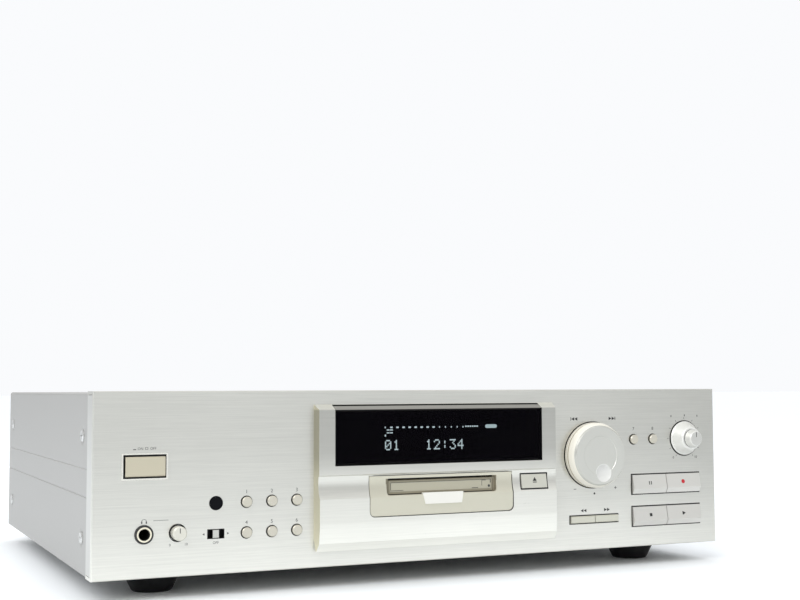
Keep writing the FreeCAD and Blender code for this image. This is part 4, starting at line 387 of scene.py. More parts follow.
@dataclass(frozen=True)
class Brushed(Finish):
    """Metal with straight brush lines, and a second colour on the faces that look aside."""

    axis: Axis = Axis.ACROSS
    metallic: float = 0.8
    rough: float = 0.34
    contrast: float = 0.10
    edge: Optional[Colour] = None

    def make(self) -> Material:
        """Build the material."""
        paint = Paint(self.name)
        coarse = paint.noise(self.axis.value, 4.0, 0.7)
        fine = paint.noise([part * 3.5 for part in self.axis.value], 3.0, 0.7)
        cloud = paint.noise((9.0, 9.0, 9.0), 2.0)
        streak = (coarse * 0.6 + fine * 0.4).clamped()
        tone = (streak * 1.6 - 0.3 + (cloud - 0.5) * 0.5).clamped()
        colour: Link = paint.mix(tone, shade(self.colour, 1.0 - self.contrast),
                                 shade(self.colour, 1.0 + self.contrast))
        if self.edge is not None:
            aside, _, _ = paint.parts(paint.node("ShaderNodeNewGeometry").outputs["True Normal"])
            colour = paint.mix(aside.size() > 0.3, colour, self.edge)
        colour, metal = self.shaded(paint, colour, self.metallic)
        rough = streak * 0.16 + (self.rough - 0.08)
        return paint.surface({"Base Color": colour, "Metallic": metal, "Roughness": rough,
                              "Normal": paint.bump(streak, 0.00002, 0.5)})


@dataclass(frozen=True)
class Turned(Finish):
    """Metal turned on a lathe: fine rings about an axis that runs towards the viewer."""

    across: float = 0.0
    high: float = 0.0
    metallic: float = 0.75
    rough: float = 0.28
    rings: float = 9000.0

    def make(self) -> Material:
        """Build the material."""
        paint = Paint(self.name)
        _, y, _ = paint.parts(paint.place())
        radius = paint.radius(self.across, self.high)
        wave = paint.math("SINE", radius * self.rings + y * self.rings, 0.0)
        grain = paint.noise((2400.0, 2400.0, 2400.0), 2.0)
        tone = (wave * 0.2 + grain * 0.3 + 0.35).clamped()
        tinted = paint.mix(tone, shade(self.colour, 0.96), shade(self.colour, 1.04))
        colour, metal = self.shaded(paint, tinted, self.metallic)
        return paint.surface({"Base Color": colour, "Metallic": metal,
                              "Roughness": grain * 0.06 + (self.rough - 0.03),
                              "Normal": paint.bump(wave, 0.000003, 0.5)})


@dataclass(frozen=True)
class Lacquer(Finish):
    """Paint or moulded plastic with a fine skin, faint flakes and an uneven gloss."""

    rough: float = 0.42
    metallic: float = 0.0
    flake: float = 0.05
    skin: float = 2600.0
    depth: float = 0.000006
    shine: float = 0.5

    def make(self) -> Material:
        """Build the material."""
        paint = Paint(self.name)
        grain = paint.noise((self.skin, self.skin, self.skin), 2.0)
        cloud = paint.noise((14.0, 14.0, 14.0), 3.0)
        tone = (grain * 0.6 + cloud * 0.4).clamped()
        speckled = paint.mix(tone, shade(self.colour, 1.0 - self.flake), shade(self.colour, 1.0 + self.flake))
        colour, metal = self.shaded(paint, speckled, self.metallic)
        return paint.surface({"Base Color": colour, "Metallic": metal, "Specular IOR Level": self.shine,
                              "Roughness": grain * 0.10 + cloud * 0.06 + (self.rough - 0.08),
                              "Normal": paint.bump(grain, self.depth, 0.5)})


@dataclass(frozen=True)
class Smoked:
    """The dark window: deep black acrylic that lets the lit display through, with a painted grey reflection
    on its bent top and a painted shade line along its top edge.
    """

    name: str
    colour: Colour = (0.0015, 0.0012, 0.002)
    # The painted reflection on the faces that look up, and the painted shade line above a height on them.
    bevel: Colour = (0.30, 0.295, 0.27)
    line: Colour = (0.01, 0.01, 0.01)
    line_from: float = 98.2

    def make(self) -> Material:
        """Build the material."""
        paint = Paint(self.name)
        haze = paint.noise((30.0, 30.0, 30.0), 2.0)
        grain = paint.noise(Axis.ACROSS.value, 3.0)
        _, _, rise = paint.parts(paint.node("ShaderNodeNewGeometry").outputs["True Normal"])
        _, _, z = paint.parts(paint.place())
        # The faces that look up are painted grey, a painted reflection, with a painted shade line above the
        # given height.
        top = rise > 0.4
        grey = paint.mix(grain, shade(self.bevel, 0.85), shade(self.bevel, 1.15))
        top_reflection_and_shade = paint.mix(z > up(self.line_from), grey, self.line)
        colour = paint.mix(top, paint.mix(haze, self.colour, shade(self.colour, 1.6)), top_reflection_and_shade)
        return paint.surface({"Base Color": colour, "Roughness": haze * 0.03 + top * 0.4 + 0.05,
                              "Alpha": (haze * 0.04 + 0.80 + top).clamped(), "Specular IOR Level": 0.02})


@dataclass(frozen=True)
class Glow:
    """Lit phosphor."""

    name: str
    colour: Colour
    strength: float = 3.0

    def make(self) -> Material:
        """Build the material."""
        paint = Paint(self.name)
        grain = paint.noise((3000.0, 3000.0, 3000.0), 1.0)
        colour = paint.mix(grain, shade(self.colour, 0.85), self.colour)
        return paint.surface({"Base Color": (0.02, 0.03, 0.03), "Emission Color": colour,
                              "Emission Strength": self.strength, "Roughness": 0.5})


@dataclass(frozen=True)
class Ringed:
    """The phones socket: a black bush with a gold contact ring inside it."""

    name: str
    across: float
    high: float
    gold_from: float = 3.4
    gold_to: float = 4.35

    def make(self) -> Material:
        """Build the material."""
        paint = Paint(self.name)
        radius = paint.radius(self.across, self.high)
        gold = (radius < self.gold_to * MM) * (radius > self.gold_from * MM)
        grain = paint.noise((1800.0, 1800.0, 1800.0), 2.0)
        dark = paint.mix(grain, (0.012, 0.012, 0.012), (0.03, 0.03, 0.03))
        colour = paint.mix(gold, dark, (0.88, 0.83, 0.66))
        return paint.surface({"Base Color": colour, "Metallic": gold * 0.6, "Roughness": grain * 0.1 + 0.28,
                              "Normal": paint.bump(grain, 0.000004, 0.4)})


@dataclass(frozen=True)
class Laminate:
    """A circuit board: resist over copper tracks."""

    name: str
    colour: Colour = (0.30, 0.22, 0.08)

    def make(self) -> Material:
        """Build the material."""
        paint = Paint(self.name)
        track = paint.noise((160.0, 20.0, 160.0), 0.0) > 0.53
        cross = paint.noise((20.0, 160.0, 20.0), 0.0) > 0.56
        mask = (track + cross).clamped()
        colour = paint.mix(mask, self.colour, shade(self.colour, 1.5))
        return paint.surface({"Base Color": colour, "Roughness": mask * -0.12 + 0.5,
                              "Normal": paint.bump(mask, 0.00003, 0.5)})


@dataclass(frozen=True)
class StageFloor:
    """The pale floor, white to the camera, gloss and glass, with painted light that lifts its shadow away
    from the deck and keeps it near the deck.
    """

    name: str
    colour: Colour = (0.80, 0.82, 0.84)
    seen: Colour = (0.93, 0.945, 0.955)
    lift: Colour = (0.225, 0.245, 0.268)
    reach: float = 0.05

    def make(self) -> Material:
        """Build the material."""
        paint = Paint(self.name)
        cloud = paint.noise((1.2, 1.2, 1.2), 2.0)
        ray = paint.node("ShaderNodeLightPath")
        shown = Value(paint, ray.outputs["Is Camera Ray"]) + Value(paint, ray.outputs["Is Glossy Ray"])
        shown = (shown + Value(paint, ray.outputs["Is Transmission Ray"])).clamped()
        x, y, _ = paint.parts(paint.place())
        aside = (x.size() - 0.20).at_least(0.0)
        away = (y.size() - 0.16).at_least(0.0)
        far = ((aside.squared() + away.squared()).root() / self.reach).clamped()
        plain_floor = paint.mix(cloud, shade(self.colour, 0.98), shade(self.colour, 1.02))
        colour = paint.mix(shown, plain_floor, self.seen)
        # Painted light: the floor glows more the farther it lies from the deck, lifting its shadow there.
        painted_light_mix = paint.mix(shown * far, (0.0, 0.0, 0.0), self.lift)
        return paint.surface({"Base Color": colour, "Roughness": cloud * 0.05 + 0.5, "Emission Color": painted_light_mix,
                              "Emission Strength": 1.0, "Specular IOR Level": 0.3})


SILVER: Colour = (0.70, 0.695, 0.645)
CREAM: Colour = (0.645, 0.625, 0.515)
BLACK: Colour = (0.012, 0.012, 0.014)
# Painted shade: the black of openings, seams and parts behind the panel's face.
SHADE_BLACK: Colour = (0.006, 0.006, 0.007)
STEEL: Colour = (0.52, 0.52, 0.51)
# Painted shade: the slot's recess and the flap's edges, in shaded copies of their cream.
SLOT_RECESS_SHADE: Colour = (0.27, 0.24, 0.17)
FLAP_EDGE_SHADE: Colour = (0.30, 0.275, 0.20)
JOG: Point = (117.1, 63.5)
LEVEL_KNOBS: Point = (193.9, 73.45)
PHONES_KNOB: Point = (-170.05, 25.3)
JACK: Point = (-189.9, 25.2)
LEFT_KEYS = (-128.15, -112.25, -96.3)
LEFT_ROWS = (41.65, 23.5)
MODE_KEYS = (150.9, 166.9)
MODE_ROW = 73.4
KEY_RING = 3.4
DEEP = 99.0
IN_SKIN = 2.99
PAST_SKIN = 3.01
# Painted shade: dark lines round the slot door's opening and the eject button's opening, and the shade inside
# the door's opening.
DOOR_SHADE = Zone(SHADE_BLACK, across=(-51.0, 51.0), high=(29.4, 55.05), depth=(-5.3, DEEP), corner=3.6)
DOOR_EDGE_SHADE = Zone((0.06, 0.055, 0.045), across=(-51.02, 51.25), high=(29.3, 55.1), corner=3.7)
EJECT_SHADE = Zone(SHADE_BLACK, across=(56.8, 77.9), high=(42.5, 53.4), corner=0.5)
# The width of the painted shade line round the panel's openings.
EDGE = 0.3
WIDE_EDGE = EDGE * 1.6
TALL_EDGE = EDGE * 1.3
KEY_PLACES = [(across, high) for high in LEFT_ROWS for across in LEFT_KEYS]
KEY_PLACES += [(across, MODE_ROW) for across in MODE_KEYS]
# The openings that get a painted shade line round them: round ones as across, high and radius, the others as
# left, right, bottom and top.
OPENINGS: Tuple[Tuple[float, float, float], ...] = (
    (*JOG, 22.4), (*LEVEL_KNOBS, 12.2), (*PHONES_KNOB, 5.0), *((*place, KEY_RING) for place in KEY_PLACES))
SLOTS: Tuple[Tuple[float, float, float, float], ...] = (
    (148.7 - WIDE_EDGE, 206.1 + EDGE, 35.5 - EDGE, 49.3 + TALL_EDGE),
    (148.7 - WIDE_EDGE, 206.1 + EDGE, 13.6 - EDGE, 27.4 + TALL_EDGE),
    (98.5 - WIDE_EDGE, 137.2 + EDGE, 17.5 - EDGE, 23.1 + EDGE),
    (-152.0 - EDGE, -142.1 + EDGE, 21.0 - EDGE, 26.2 + EDGE))


def sunk(depth: float) -> Zone:
    """Give the part of a piece behind a depth painted black: painted shade in its opening, and on the buttons
    also their black flange.
    """
    return Zone(SHADE_BLACK, depth=(depth, DEEP))


def ring(across: float, high: float, radius: float) -> Zone:
    """Give the painted shade line round a round opening, on the panel's face and walls."""
    reach = radius + EDGE
    return Zone(SHADE_BLACK, across=(across - reach, across + reach), high=(high - reach, high + reach),
                depth=(-DEEP, IN_SKIN), corner=reach)


# Painted shade round the panel's openings and on its inside behind the face.
PANEL_SHADE_ZONES = (
    *(ring(*place) for place in OPENINGS),
    *(Zone(SHADE_BLACK, across=place[:2], high=place[2:], depth=(-DEEP, IN_SKIN)) for place in SLOTS),
    Zone(SHADE_BLACK, across=(-216.0, 216.0), depth=(0.7, IN_SKIN), high=(3.0, 105.0)),
    Zone(SHADE_BLACK, across=(-216.0, 216.0), depth=(PAST_SKIN, DEEP), high=(3.0, 105.0)))
# Painted light and shade: the panel is painted lighter towards its bottom and darker towards its right; the
# bezel is lighter at its chin and along its top, and darker over its display.
PANEL_PAINTED_LIGHT = Fade(((0.0, 1.20), (12.0, 1.12), (35.0, 0.98), (52.0, 0.94), (75.0, 0.89), (100.0, 0.93),
                   (108.0, 0.95)), right_level=0.86)
BEZEL_PAINTED_LIGHT = Fade(((9.0, 1.44), (15.0, 1.26), (28.0, 1.13), (40.0, 1.08), (55.0, 1.03), (56.6, 0.96),
                   (62.0, 0.83), (70.0, 0.71), (95.8, 0.69), (96.4, 1.1), (99.4, 1.2)))
# Zones that darken a piece behind a given depth are painted shade in its opening.
FINISHES: Dict[str, object] = {
    # Painted shade round its openings and inside; painted light and shade over its height.
    "front_panel": Brushed("panel_brushed", SILVER, contrast=0.13, rough=0.32, zones=PANEL_SHADE_ZONES,
                           fade=PANEL_PAINTED_LIGHT),
    "end_caps": Lacquer("cap_satin", (0.62, 0.625, 0.60), metallic=0.5, rough=0.36),
    "top_cover": Lacquer("cover_silver_paint", (0.47, 0.468, 0.455), rough=0.46, metallic=0.25, flake=0.04),
    "chassis_base": Brushed("plated_steel", STEEL, axis=Axis.DEEP, rough=0.42),
    "rear_panel": Lacquer("rear_paint", (0.40, 0.405, 0.40), rough=0.5, metallic=0.2),
    "front_subframe": Lacquer("frame_black", BLACK, rough=0.6, shine=0.2),
    # Painted shade round the door and eject openings; painted light and shade over its height.
    "centre_bezel": Brushed("bezel_silver", (0.695, 0.69, 0.64), contrast=0.08, rough=0.30, metallic=0.75,
                            edge=(0.61, 0.58, 0.45), zones=(DOOR_EDGE_SHADE, DOOR_SHADE, EJECT_SHADE),
                            fade=BEZEL_PAINTED_LIGHT),
    "display_window": Smoked("window_smoke"),
    # Its recess and its part behind 3 mm are painted shade.
    "slot_escutcheon": Lacquer("escutcheon_cream", CREAM, rough=0.36, metallic=0.45, flake=0.06,
                               zones=(Zone(SLOT_RECESS_SHADE, across=(-39.4, 39.4), high=(42.0, 53.2),
                                           depth=(-5.5, DEEP)),
                                      sunk(-3.0))),
    # Its edges are painted shade.
    "slot_flap": Lacquer("flap_cream", (0.50, 0.475, 0.37), rough=0.4, metallic=0.4,
                         zones=(Zone(FLAP_EDGE_SHADE, high=(50.1, DEEP)),
                                Zone(FLAP_EDGE_SHADE, high=(0.0, 44.4)),
                                Zone(FLAP_EDGE_SHADE, across=(-DEEP, -35.6)),
                                Zone(FLAP_EDGE_SHADE, across=(35.9, DEEP)))),
    "cartridge_lip": Lacquer("lip_pearl", (0.94, 0.93, 0.87), rough=0.3, metallic=0.1),
    "power_bezel": Lacquer("trim_bright", (0.78, 0.77, 0.70), rough=0.22, metallic=0.8,
                           zones=(sunk(0.5),)),
    "power_button": Lacquer("power_champagne", (0.605, 0.56, 0.43), rough=0.34, metallic=0.55,
                            zones=(sunk(-1.0),)),
    "ir_window": Lacquer("sensor_black", (0.005, 0.005, 0.007), rough=0.14, flake=0.3, shine=0.06),
    "feet": Lacquer("foot_black", (0.012, 0.012, 0.013), rough=0.5, flake=0.2, skin=900.0, depth=0.00003,
                    shine=0.25),
    "foot_rings": Lacquer("foot_ring_black", (0.014, 0.014, 0.015), rough=0.4, flake=0.1, shine=0.25),
    "case_screws": Lacquer("screw_nickel", (0.66, 0.66, 0.65), rough=0.28, metallic=0.9),
    "phones_jack": Ringed("jack_bush", *JACK),
    "panel_switches": Lacquer("switch_black", (0.03, 0.03, 0.03), rough=0.55),
    "display_tube": Lacquer("tube_glass", (0.004, 0.005, 0.006), rough=0.2, flake=0.3, shine=0.1),
    "circuit_boards": Laminate("board_resist"),
    "board_parts": Lacquer("component_black", (0.04, 0.04, 0.05), rough=0.45),
    "power_transformer": Lacquer("core_varnish", (0.10, 0.09, 0.08), rough=0.5, flake=0.15),
    "mains_inlet": Lacquer("inlet_black", (0.02, 0.02, 0.02), rough=0.5),
    "phono_sockets": Lacquer("socket_gold", (0.78, 0.60, 0.28), rough=0.25, metallic=0.9),
    "optical_sockets": Lacquer("socket_black", (0.02, 0.02, 0.02), rough=0.5),
    "rotary_controls": Brushed("control_steel", STEEL),
    "mech_frame": Brushed("mech_steel", (0.50, 0.50, 0.49), axis=Axis.DEEP),
    "mech_posts": Lacquer("post_brass", (0.62, 0.50, 0.26), rough=0.3, metallic=0.9),
    "drive_motors": Brushed("motor_steel", STEEL, rough=0.3),
    "guide_rod": Lacquer("rod_polished", (0.62, 0.62, 0.62), rough=0.12, metallic=1.0),
    "lead_screw": Lacquer("screw_polished", (0.60, 0.60, 0.60), rough=0.18, metallic=1.0),
    "cartridge_holder": Brushed("holder_steel", STEEL, axis=Axis.DEEP),
    "loading_slider": Lacquer("slider_acetal", (0.72, 0.72, 0.69), rough=0.4),
    "loading_pinion": Lacquer("pinion_acetal", (0.70, 0.70, 0.66), rough=0.4),
    "optical_sled": Lacquer("sled_black", (0.03, 0.03, 0.032), rough=0.5),
    "turntable": Lacquer("turntable_black", (0.03, 0.03, 0.03), rough=0.4),
    "head_arm": Brushed("arm_steel", STEEL),
    "jog_shaft": Lacquer("shaft_steel", STEEL, rough=0.25, metallic=0.9),
    # The side wall is a painted highlight with two darker bands of painted shade, one in its groove; the
    # dimple is painted lighter, a painted reflection; behind 0.45 mm it is painted shade.
    "jog_dial": Turned("jog_silver", (0.635, 0.635, 0.59), (
        Zone((0.95, 0.92, 0.82), depth=(-8.9, -0.45)), Zone((0.50, 0.44, 0.33), depth=(-4.2, -3.4)),
        Zone((0.62, 0.57, 0.46), depth=(-1.7, -1.3)),
        Zone((0.80, 0.80, 0.77), across=(113.2, 125.6), high=(45.5, 57.9), depth=(-10.15, -5.2), corner=6.2),
        sunk(-0.45)), across=JOG[0], high=JOG[1], metallic=0.55, rough=0.34),
    "record_level_knob": Turned("level_knob_silver", (0.86, 0.86, 0.82), (sunk(-0.45),),
                                across=LEVEL_KNOBS[0], high=LEVEL_KNOBS[1], metallic=0.35, rough=0.38),
    # Behind 9.1 mm it is painted shade; its front face is darker.
    "balance_knob": Turned("balance_knob_silver", (0.84, 0.84, 0.80), (
        sunk(-9.1), Zone((0.60, 0.60, 0.57), depth=(-DEEP, -13.85))),
                           across=LEVEL_KNOBS[0], high=LEVEL_KNOBS[1], metallic=0.35, rough=0.36),
    "phones_level_knob": Turned("phones_knob_silver", (0.76, 0.745, 0.66), (sunk(0.3),),
                                across=PHONES_KNOB[0], high=PHONES_KNOB[1], metallic=0.35, rough=0.38),
    "timer_slider": Lacquer("timer_ivory", (0.62, 0.62, 0.58), rough=0.4,
                            zones=(sunk(0.6),)),
    "eject_button": Lacquer("eject_ivory", (0.66, 0.655, 0.575), rough=0.36, metallic=0.3,
                            zones=(sunk(-4.6),)),
}
# The buttons' parts behind their given depth are painted shade, and also stand for their black flange.
KEY_FINISH = Lacquer("key_ivory", (0.63, 0.60, 0.51), (sunk(-0.5),), rough=0.3, metallic=0.5)
FINISHES.update(dict.fromkeys(("pause_button", "record_button", "stop_button", "play_button"), Lacquer(
    "deck_button_silver", (0.71, 0.70, 0.66), (sunk(0.3),), rough=0.36, metallic=0.45)))
FINISHES.update(dict.fromkeys(("search_back_button", "search_forward_button"), Lacquer(
    "search_button_cream", (0.66, 0.655, 0.56), (sunk(0.3),), rough=0.36, metallic=0.4)))


def close(name: str, mesh: bmesh.types.BMesh, material: Material) -> bpy.types.Object:
    """Turn a finished mesh into an object in the scene.

    Args:
        name: The object's name.
        mesh: Its mesh, which is used up.
        material: Its material.

    Returns:
        The new object.
    """
    data = bpy.data.meshes.new(name)
    mesh.to_mesh(data)
    mesh.free()
    data.materials.append(material)
    thing = bpy.data.objects.new(name, data)
    bpy.context.scene.collection.objects.link(thing)
    return thing


class Dresser:
    """Gives every carried-over piece its finish."""

    def __init__(self, frame: Dict[str, object]) -> None:
        """Keep the frame and start with no material made."""
        self.nodes: Dict[str, bpy.types.Object] = frame["nodes"]
        self.made: Dict[str, Material] = {}

    def material(self, finish: object) -> Material:
        """Make a finish's material once."""
        if finish.name not in self.made:
            self.made[finish.name] = finish.make()
        return self.made[finish.name]

    def dress(self) -> None:
        """Put each finish on its piece. The small keys share one."""
        for name, thing in self.nodes.items():
            material = self.material(FINISHES.get(name, KEY_FINISH))
            for mesh_piece in [thing] + list(thing.children_recursive):
                if mesh_piece.type == "MESH":
                    mesh_piece.data.materials.clear()
                    mesh_piece.data.materials.append(material)
            LOG.info("dressed %s", name)


class Plates:
    """Gathers thin raised shapes into one mesh."""

    def __init__(self, name: str, body: str, face: float, raised: float = 0.04) -> None:
        """Start an empty mesh.

        Args:
            name: The piece's name.
            body: The body that it rides on.
            face: The depth of the surface that it lies on, in millimetres behind the panel's face.
            raised: How far it stands in front of that surface, in millimetres.
        """
        self.name = name
        self.body = body
        self.face = face
        self.raised = raised
        self.mesh = bmesh.new()

    def prism(self, points: Sequence[Point], slope: float = 0.0) -> None:
        """Add a flat shape.

        Args:
            points: Its corners as (across, high) in millimetres.
            slope: How much deeper the surface gets for each millimetre up.
        """
        middle = sum(high for _, high in points) / len(points)
        front = []
        rear = []
        for across, high in points:
            depth = self.face + (high - middle) * slope
            front.append(self.mesh.verts.new((across * MM, back(depth - self.raised), up(high))))
            rear.append(self.mesh.verts.new((across * MM, back(depth + 0.01), up(high))))
        self.mesh.faces.new(front)
        self.mesh.faces.new(list(reversed(rear)))
        for index in range(len(points)):
            after = (index + 1) % len(points)
            self.mesh.faces.new((front[after], front[index], rear[index], rear[after]))

    def bar(self, across: float, high: float, wide: float, tall: float, slope: float = 0.0) -> None:
        """Add a rectangle about its centre."""
        self.prism([(across + way * wide / 2, high + rise * tall / 2)
                    for way, rise in ((-1, -1), (1, -1), (1, 1), (-1, 1))], slope)

    def disc(self, across: float, high: float, radius: float, slope: float = 0.0, sides: int = 24) -> None:
        """Add a round dot."""
        self.prism([(across + radius * math.cos(2 * math.pi * step / sides),
                     high + radius * math.sin(2 * math.pi * step / sides)) for step in range(sides)], slope)

    def arrow(self, across: float, high: float, size: float, way: int, slope: float = 0.0) -> None:
        """Add a triangle that points left (-1) or right (1)."""
        points = [(across - way * size / 2, high - size / 2), (across + way * size / 2, high),
                  (across - way * size / 2, high + size / 2)]
        self.prism(points if way > 0 else list(reversed(points)), slope)

    def spoke(self, across: float, high: float, inner: float, outer: float, degrees: float,
              wide: float) -> None:
        """Add a tick that points away from a centre.

        Args:
            across: The centre's place across.
            high: The centre's height.
            inner: Where the tick starts, from the centre.
            outer: Where it ends.
            degrees: Its angle, clockwise from the top.
            wide: Its width.
        """
        angle = math.radians(degrees)
        out = (math.sin(angle), math.cos(angle))
        side = (math.cos(angle) * wide / 2, -math.sin(angle) * wide / 2)
        self.prism([(across + out[0] * far + side[0] * way, high + out[1] * far + side[1] * way)
                    for far, way in ((inner, -1), (inner, 1), (outer, 1), (outer, -1))])

    def word(self, text: str, across: float, high: float, tall: float) -> None:
        """Add figures or a plain switch word, centred on a place.

        Args:
            text: The figures or the word.
            across: The middle's place across.
            high: The middle's height.
            tall: About how tall a figure is.
        """
        curve = bpy.data.curves.new("figures", "FONT")
        curve.body = text
        curve.align_x = "CENTER"
        curve.align_y = "CENTER"
        curve.size = tall * 1.4 * MM
        curve.extrude = 0.02 * MM
        curve.resolution_u = 3
        thing = bpy.data.objects.new("figures", curve)
        bpy.context.scene.collection.objects.link(thing)
        flat = bpy.data.meshes.new_from_object(thing)
        turn = Matrix.Rotation(math.pi / 2, 4, "X")
        flat.transform(Matrix.Translation(Vector((across * MM, back(self.face - 0.018), up(high)))) @ turn)
        self.mesh.from_mesh(flat)
        bpy.data.objects.remove(thing)
        bpy.data.curves.remove(curve)
        bpy.data.meshes.remove(flat)

    def finish(self, material: Material, slot: str) -> None:
        """Close the mesh into a piece.

        Args:
            material: Its material.
            slot: Not used.
        """
        bmesh.ops.recalc_face_normals(self.mesh, faces=self.mesh.faces)
        piece = close(self.name, self.mesh, material)
        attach(piece, self.body)
        LOG.info("built %s", self.name)


INK = Lacquer("print_grey", (0.05, 0.05, 0.05), rough=0.6)
INK_DARK = Lacquer("print_black", (0.02, 0.02, 0.02), rough=0.5)
INK_RED = Lacquer("print_red", (0.55, 0.02, 0.03), rough=0.45)
DOTS: Dict[str, Tuple[int, ...]] = {
    "0": (14, 17, 19, 21, 25, 17, 14), "1": (4, 12, 4, 4, 4, 4, 14), "2": (14, 17, 1, 2, 4, 8, 31),
    "3": (31, 2, 4, 2, 1, 17, 14), "4": (2, 6, 10, 18, 31, 2, 2),
    ":": (0, 4, 4, 0, 4, 4, 0), " ": (0, 0, 0, 0, 0, 0, 0),
}


@dataclass
class PanelPrint:
    """The printed marks on the panel: ticks, arrows, plain figures, ON and OFF."""

    mark: float = 2.2
    tick: float = 0.28
    line: float = 0.22
    small: float = 1.5
    dial_mark: float = 1.7
    rows: Tuple[Tuple[Tuple[float, ...], float], ...] = (
        (LEFT_KEYS, 47.6), (LEFT_KEYS, 29.4), (MODE_KEYS, 80.6))

    def build(self, dresser: Dresser) -> None:
        """Build the marks."""
        marks = Plates("panel_marks", DECK, 0.0)
        places = [(across, high) for row, high in self.rows for across in row]
        for number, (across, high) in enumerate(places, start=1):
            marks.word(str(number), across, high, self.mark)
        marks.word("ON", -192.4, 74.6, self.small)
        marks.word("OFF", -184.9, 74.6, self.small)
        marks.bar(-195.8, 74.2, 1.7, 0.5)
        marks.bar(-188.8, 74.2, 1.7, self.line)
        marks.bar(-188.8, 75.3, 1.7, self.line)
        marks.bar(-189.55, 74.75, self.line, 1.2)
        marks.bar(-188.05, 74.75, self.line, 1.2)
        self._headphones(marks, JACK[0], 33.2)
        marks.bar(-180.0, 33.0, 9.0, self.line)
        for text, across in (("0", -174.6), ("10", -165.0), ("OFF", -147.05)):
            marks.word(text, across, 18.4, self.small)
        marks.arrow(-154.6, 23.6, 1.3, -1)
        marks.arrow(-139.5, 23.6, 1.3, 1)
        marks.finish(dresser.material(INK), "panel_aluminium")
        self._arrows(dresser)

    def _level(self, marks: Plates, inner: float, outer: float, count: int) -> None:
        """Add a fan of ticks around the record level knob."""
        for step in range(count):
            marks.spoke(*LEVEL_KNOBS, inner, outer, -150.0 + 300.0 * step / (count - 1), self.tick)

    def _headphones(self, marks: Plates, across: float, high: float) -> None:
        """Add the usual sign for headphones."""
        for step in range(12):
            marks.spoke(across, high - 0.6, 1.25, 1.5, -90.0 + 180.0 * (step + 0.5) / 12, 0.42)
        for side in (-1, 1):
            marks.bar(across + side * 1.35, high - 1.1, 0.7, 1.3)

    def _arrows(self, dresser: Dresser) -> None:
        """Add the arrows and figures around the jog dial, the search buttons and the record level knob."""
        marks = Plates("dial_marks", DECK, 0.0)
        for middle, way in ((103.0, -1), (133.1, 1)):
            for step in (-1, 1):
                marks.arrow(middle + step * 1.25, 88.0, 2.3, way)
            marks.bar(middle + way * 2.75, 88.0, 0.45, 2.2)
        for middle, way in ((109.4, -1), (128.2, 1)):
            for step in (-1, 1):
                marks.arrow(middle + step * 1.2, 26.2, 2.2, way)
        marks.bar(102.9, 40.8, 2.0, 0.35)
        marks.bar(135.4, 40.8, 2.0, 0.35)
        marks.bar(135.4, 40.8, 0.35, 2.0)
        marks.disc(118.3, 37.4, 0.7)
        for across, high in ((183.0, 89.0), (194.5, 89.4), (205.5, 89.0)):
            marks.bar(across, high, 0.6, 1.3)
        self._level(marks, 13.4, 14.5, 11)
        marks.word("0", 184.3, 60.0, self.dial_mark)
        marks.word("10", 203.6, 60.0, self.dial_mark)
        marks.finish(dresser.material(INK_DARK), "panel_aluminium")


@dataclass
class ButtonPrint:
    """The signs on the buttons. Each rides on its own button."""

    depth: float = -2.0
    slope: float = 2.0 / 9.42
    lean: float = 1.6 / 8.9

    def build(self, dresser: Dresser) -> None:
        """Build the signs."""
        ink = dresser.material(INK_DARK)
        pause = Plates("pause_sign", "pause_button", self.depth)
        pause.bar(162.3, 43.2, 0.7, 2.3, self.slope)
        pause.bar(163.9, 43.2, 0.7, 2.3, self.slope)
        pause.finish(ink, "deck_metallic")
        record = Plates("record_sign", "record_button", self.depth)
        record.disc(190.9, 43.4, 1.4, self.slope)
        record.finish(dresser.material(INK_RED), "deck_metallic")
        stop = Plates("stop_sign", "stop_button", self.depth)
        stop.bar(163.2, 21.3, 2.1, 2.1, self.slope)
        stop.finish(ink, "deck_metallic")
        play = Plates("play_sign", "play_button", self.depth)
        play.arrow(191.3, 21.4, 2.7, 1, self.slope)
        play.finish(ink, "deck_metallic")
        eject = Plates("eject_sign", "eject_button", -6.12, 0.06)
        eject.prism([(66.3, 48.0), (69.3, 48.0), (67.8, 50.4)], self.lean)
        eject.finish(ink, "eject_metallic")
        under = Plates("eject_bar", "eject_button", -6.38)
        under.bar(67.8, 47.2, 3.0, 0.5, self.lean)
        under.finish(ink, "eject_metallic")


